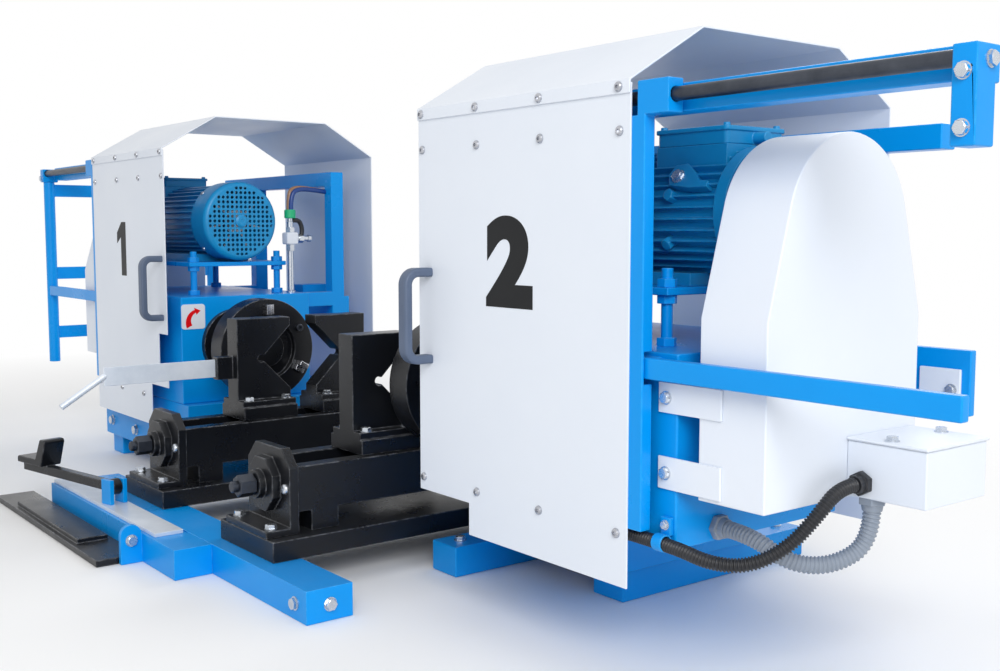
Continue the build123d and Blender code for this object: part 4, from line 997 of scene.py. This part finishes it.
panel_face = box_mm("guard_panel_b")[0].y
one = [(u * NUMBER_MM, v * NUMBER_MM) for u, v in ONE]
one_at = (ONE_CORNER[0], panel_face, ONE_CORNER[1])
add_form("number_1", cut_plate(one, one_at, (1, 0, 0), (0, 0, 1), FILM_MM), 0, "guard_a", "black_paint",
         finish=FILM_BLACK)
numeral_two((TWO_MIDDLE[0], panel_face, TWO_MIDDLE[1]))
print("numbers", NUMBER_MM, "mm high")

# %% [markdown]
# ## Boring heads
# Each head is a black faceplate with three bright tool holders, and a cap screw between every two of them.
# The node holds them as separate solids, so the largest becomes the faceplate and the others the holders.
# Black paint and bare steel need finishes of their own, which is why they are parted.

# %% Part the boring heads
HEAD_FACE = 393.0
HEAD_SCREWS = 3
HEAD_SCREW_SIZE = 1.2
SCREW_RING = 103.0
PLATE_EASE = 2.0
HOLDER_EASE = 1.5
spindle_z = middle_mm("spindle_a").z
screw_turns = [math.tau * i / HEAD_SCREWS for i in range(HEAD_SCREWS)]
for side, sign, axis in (("a", -1, "+x"), ("b", 1, "-x")):
    name = "boring_head_" + side
    plate, *holders = parted(name)
    add_form(name + "_plate", plate, PLATE_EASE, BODY_OF[name], "black_paint", [name])
    add_form(name + "_holders", joined(holders), HOLDER_EASE, BODY_OF[name], "bright_steel", [name])
    places = [((sign * HEAD_FACE, SCREW_RING * math.sin(t), spindle_z - SCREW_RING * math.cos(t)), axis)
              for t in screw_turns]
    fasteners(name + "_screws", "cap", places, BODY_OF[name], "dark_steel", HEAD_SCREW_SIZE)
    print(name, "has", len(holders), "tool holders and", len(places), "screws")

# %% [markdown]
# ## Clamp screws
# A clamp closes both jaws at once, so its screw is right-handed on the front half and left-handed on the rear
# half. Both halves have two starts and a lead of 20 mm, which is what ties a turn to the jaws' travel. The
# tree of the hoses makes the thread too, on a straight line, where a twist below zero gives a right-handed
# thread. The front end has a hexagon for the wrench and a round nose.

# %% Cut the threads
THREAD_CREST = 12.0
THREAD_ROOT = 10.4
THREAD_LEAD = 20.0
THREAD_STARTS = 2
WRENCH_END = [(0, 0), (17.5, 0), (19, 1.5, True), (19, 32.5, True), (17.5, 34), (11, 34), (11, 44), (9, 46),
              (0, 46)]
BRACKET_BOLT = Vector((70.0, -350.0, 186.0))
BRACKET_BOLT_SIZE = 1.3
screw_low, screw_high = box_mm("clamp_screw_a")
screw_z = middle_mm("clamp_screw_a").z
thread_front = screw_low.y + WRENCH_END[-1][1]
SCREW_HALVES = ((thread_front, 0.0, -1), (0.0, screw_high.y, 1))
for side, middle in CLAMP_MIDDLE.items():
    name = "clamp_screw_" + side
    forms = [turned(WRENCH_END, (middle, thread_front, screw_z), (0, -1, 0))]
    for first, last, hand in SCREW_HALVES:
        points = [Vector((middle, y, screw_z)) for y in (first, (first + last) / 2, last)]
        mesh = hose(name, points, THREAD_CREST, THREAD_ROOT, THREAD_LEAD / THREAD_STARTS,
                    float(hand * THREAD_STARTS), FINISH["dark_steel"])
        half = bmesh.new()
        half.from_mesh(mesh)
        forms.append(half)
    add_form(name + "_thread", joined(forms), 0, BODY_OF[name], "dark_steel", [name])
    bolt_at = BRACKET_BOLT + Vector((middle, 0, 0))
    fasteners("bracket_bolt_" + side, "button", [(bolt_at, "-y")], "machine", "zinc_steel", BRACKET_BOLT_SIZE)
    print(name, "has", THREAD_STARTS, "starts and a lead of", THREAD_LEAD, "mm")

# %% [markdown]
# ## Motor trim
# The fan cowl has a boss in the middle of its grid and four small screws round its rim. On the near side of
# motor B a lifting lug of bent plate is bolted to the shoulder, above two small bosses between the fins. The
# lug is a cut plate and the rest is turned, so each needs only an outline.

# %% Trim the motors
COWL_LOW = box_mm("fan_cowl_b")[0]
MOTOR_AXIS = middle_mm("fan_cowl_b").yz
COWL_R = 108.0
RIM_INSET = 78.0
FIN_R = 97.0
BOSS = [(0, 0), (17, 0), (17, 2.5), (12, 5), (7, 5), (6, 3.5), (0, 3.5)]
RIM_SCREWS = 4
RIM_SCREW_SIZE = 0.8
LUG_AT = (1102.0, math.radians(32))
LUG = [(-44, 4), (-38, 22), (-14, 25), (8, 10), (24, -6), (44, -9), (44, -19), (8, -20), (-34, -14)]
LUG_T = 16.0
LUG_EASE = 1.2
LUG_BOLT_X = -20.0
LUG_BOLT_SIZE = 0.9
FIN_BOSSES = ((1070.0, math.radians(16)), (1060.0, math.radians(-28)))
FIN_BOSS = [(0, -8), (9, -8, True), (9, 8, True), (7.5, 9.5), (0, 9.5)]


def round_motor(x, radius, turn):
    """A place in mm round the motor's axis, and the way out from the axis there."""
    out = Vector((0, -math.cos(turn), math.sin(turn)))
    return Vector((x, *MOTOR_AXIS)) + out * radius, tuple(out)


for side, sign in (("a", -1), ("b", 1)):
    boss = turned(BOSS, (sign * COWL_LOW.x, *MOTOR_AXIS), (-sign, 0, 0))
    add_form("cowl_boss_" + side, boss, 0, "machine", "motor_teal")
    places = [round_motor(sign * (COWL_LOW.x + RIM_INSET), COWL_R, math.tau * (i + 0.5) / RIM_SCREWS)
              for i in range(RIM_SCREWS)]
    fasteners("cowl_screws_" + side, "button", places, "machine", "zinc_steel", RIM_SCREW_SIZE)
    print("cowl", side, "has", len(places), "rim screws")
x, turn = LUG_AT
seat, out = round_motor(x, FIN_R, turn)
out = Vector(out)
lug = [cut_plate(LUG, seat - LUG_T / 2 * out, (1, 0, 0), out.cross(Vector((1, 0, 0))), LUG_T)]
lug += [turned(FIN_BOSS, *round_motor(x, FIN_R, turn)) for x, turn in FIN_BOSSES]
add_form("motor_lug", joined(lug), LUG_EASE, "machine", "motor_teal")
bolt_at = seat + LUG_T / 2 * out + Vector((LUG_BOLT_X, 0, 0))
fasteners("motor_lug_bolt", "hex_bolt", [(bolt_at, tuple(out))], "machine", "zinc_steel", LUG_BOLT_SIZE)
print("motor lug", LUG_T, "mm thick, with", len(FIN_BOSSES), "bosses below it")

# %% [markdown]
# ## Rotation plate
# A small white tile on the column of the first head shows which way its spindle turns. It has rounded corners
# and a bent red arrow, cut from film: an arc that widens towards its tail. A picture would blur up close, so
# the arrow is a thin form.

# %% Make the rotation plate
COLUMN_A_HIGH = box_mm("column_a")[1]
TILE_MIDDLE = Vector((COLUMN_A_HIGH.x, -117.0, 448.0))
TILE_HALF = 33.0
TILE_T = 1.5
TILE_CORNER_R = 8.0
TILE_CORNER_STEPS = 6
ARROW_CENTRE = TILE_MIDDLE + Vector((TILE_T, 16.0, -14.0))
ARROW_R = 30.0
ARROW_TURNS = (math.radians(110), math.radians(205))
ARROW_HALVES = (4.0, 8.5)
ARROW_STEPS = 12
BARB = 10.0
TIP_TURN = 0.5
tile = block(TILE_MIDDLE - Vector((0, TILE_HALF, TILE_HALF)),
             TILE_MIDDLE + Vector((TILE_T, TILE_HALF, TILE_HALF)))
corners = [e for e in tile.edges if abs(e.verts[0].co.x - e.verts[1].co.x) > MERGE]
bmesh.ops.bevel(tile, geom=corners, offset=TILE_CORNER_R * MM, segments=TILE_CORNER_STEPS, affect="EDGES",
                profile=0.5)


def on_arc(radius, turn):
    return radius * math.cos(turn), radius * math.sin(turn)


def between(ends, share):
    return ends[0] + share * (ends[1] - ends[0])


shares = [i / ARROW_STEPS for i in range(ARROW_STEPS + 1)]
turns = [between(ARROW_TURNS, share) for share in shares]
halves = [between(ARROW_HALVES, share) for share in shares]
outer = [on_arc(ARROW_R + half, turn) for half, turn in zip(halves, turns)]
inner = [on_arc(ARROW_R - half, turn) for half, turn in zip(halves, turns)]
head = [on_arc(ARROW_R - BARB, turns[0]), on_arc(ARROW_R, turns[0] - TIP_TURN),
        on_arc(ARROW_R + BARB, turns[0])]
arrow = cut_plate(inner[::-1] + head + outer, ARROW_CENTRE, (0, 1, 0), (0, 0, 1), FILM_MM)
FILM_RED = film("film_red", (226, 14, 24), (206, 8, 18), 0.35)
add_form("rotation_tile", tile, 0, "machine", "sheet_white")
add_form("rotation_arrow", arrow, 0, "machine", "sheet_white", finish=FILM_RED)
print("rotation plate", 2 * TILE_HALF, "mm square")

# %% [markdown]
# ## Standpipe
# A bright pipe stands on the column of the first head. It carries a cast tee with a side outlet, and above it
# a green sleeve out of which two hoses rise to the beam behind. A short black hose drops from the stem to the
# outlet. The hoses are held at both ends, so each is a spline with a plain round wall from the same tree.

# %% Stand the pipe
PIPE_FOOT = COLUMN_A_HIGH - Vector((50.0, 30.0, 0.0))
TEE_Z = 137.0
TEE_H = 34.0
TEE_HALF_X = 17.0
TEE_HALF_Y = 18.0
TEE_EASE = 4.0
OUTLET_Y = 15.0
SLEEVE_Z = 211.0
PIPE = [(0, 0), (13, 0), (13, 5), (9, 8), (9, 118), (11, 119, True), (11, 137, True), (0, 137)]
OUTLET = [(0, 0), (9, 0), (9, 10), (11, 10, True), (11, 24, True), (7.5, 25), (7.5, 38), (10, 39), (10, 48),
          (0, 48)]
STEM = [(0, 0), (12, 0, True), (12, 14, True), (9, 15), (9, 30), (7.5, 31), (7.5, 42), (0, 42)]
SLEEVE = [(0, 0), (15, 0), (16, 2), (16, 21), (14.5, 24), (0, 24)]
HOSE_R = 6.5
HOSE_PITCH = 20.0
PIPE_HOSES = {
    "amber": [(-7, 0, 230), (-7, 0, 276), (-8, 14, 298), (-8, 70, 296), (-8, 130, 286), (-8, 130, 303)],
    "blue": [(7, 0, 230), (7, 0, 272), (8, 18, 294), (8, 74, 292), (8, 128, 284), (8, 130, 303)],
    "black": [(0, 4, 204), (0, 26, 208), (0, 36, 190), (0, 38, 172), (0, 34, 156)],
}
PIPE_FINISH = {
    "amber": moulded("hose_amber", (150, 112, 84), (186, 150, 120), 0.3),
    "blue": moulded("hose_blue", (16, 52, 120), (48, 96, 170), 0.3),
    "black": FINISH["conduit_black"],
    "green": moulded("sleeve_green", (10, 168, 108), (60, 200, 150), 0.4),
}
outlet_at = PIPE_FOOT + Vector((0, OUTLET_Y, TEE_Z + TEE_H / 2))
fittings = [turned(PIPE, PIPE_FOOT), turned(OUTLET, outlet_at, (0, 1, 0)),
            turned(STEM, PIPE_FOOT + Vector((0, 0, TEE_Z + TEE_H)))]
add_form("standpipe", joined(fittings), 0, "machine", "zinc_steel")
tee = block(PIPE_FOOT + Vector((-TEE_HALF_X, -TEE_HALF_Y, TEE_Z)),
            PIPE_FOOT + Vector((TEE_HALF_X, TEE_HALF_Y, TEE_Z + TEE_H)))
add_form("standpipe_tee", tee, TEE_EASE, "machine", "sheet_white")
sleeve = turned(SLEEVE, PIPE_FOOT + Vector((0, 0, SLEEVE_Z)))
add_form("standpipe_sleeve", sleeve, 0, "machine", "handle_grey", finish=PIPE_FINISH["green"])
for shade, route in PIPE_HOSES.items():
    name = "standpipe_hose_" + shade
    points = [PIPE_FOOT + Vector(point) for point in route]
    mesh = hose(name, points, HOSE_R, HOSE_R, HOSE_PITCH, 0.0, PIPE_FINISH[shade])
    add_piece(name, mesh, "machine", "conduit_black", finish=PIPE_FINISH[shade])

# %% [markdown]
# ## Clean up
# The patterns of the fastener heads are removed.

# %% Finish
for pattern in HEAD_OBJECTS.values():
    bpy.data.objects.remove(pattern)
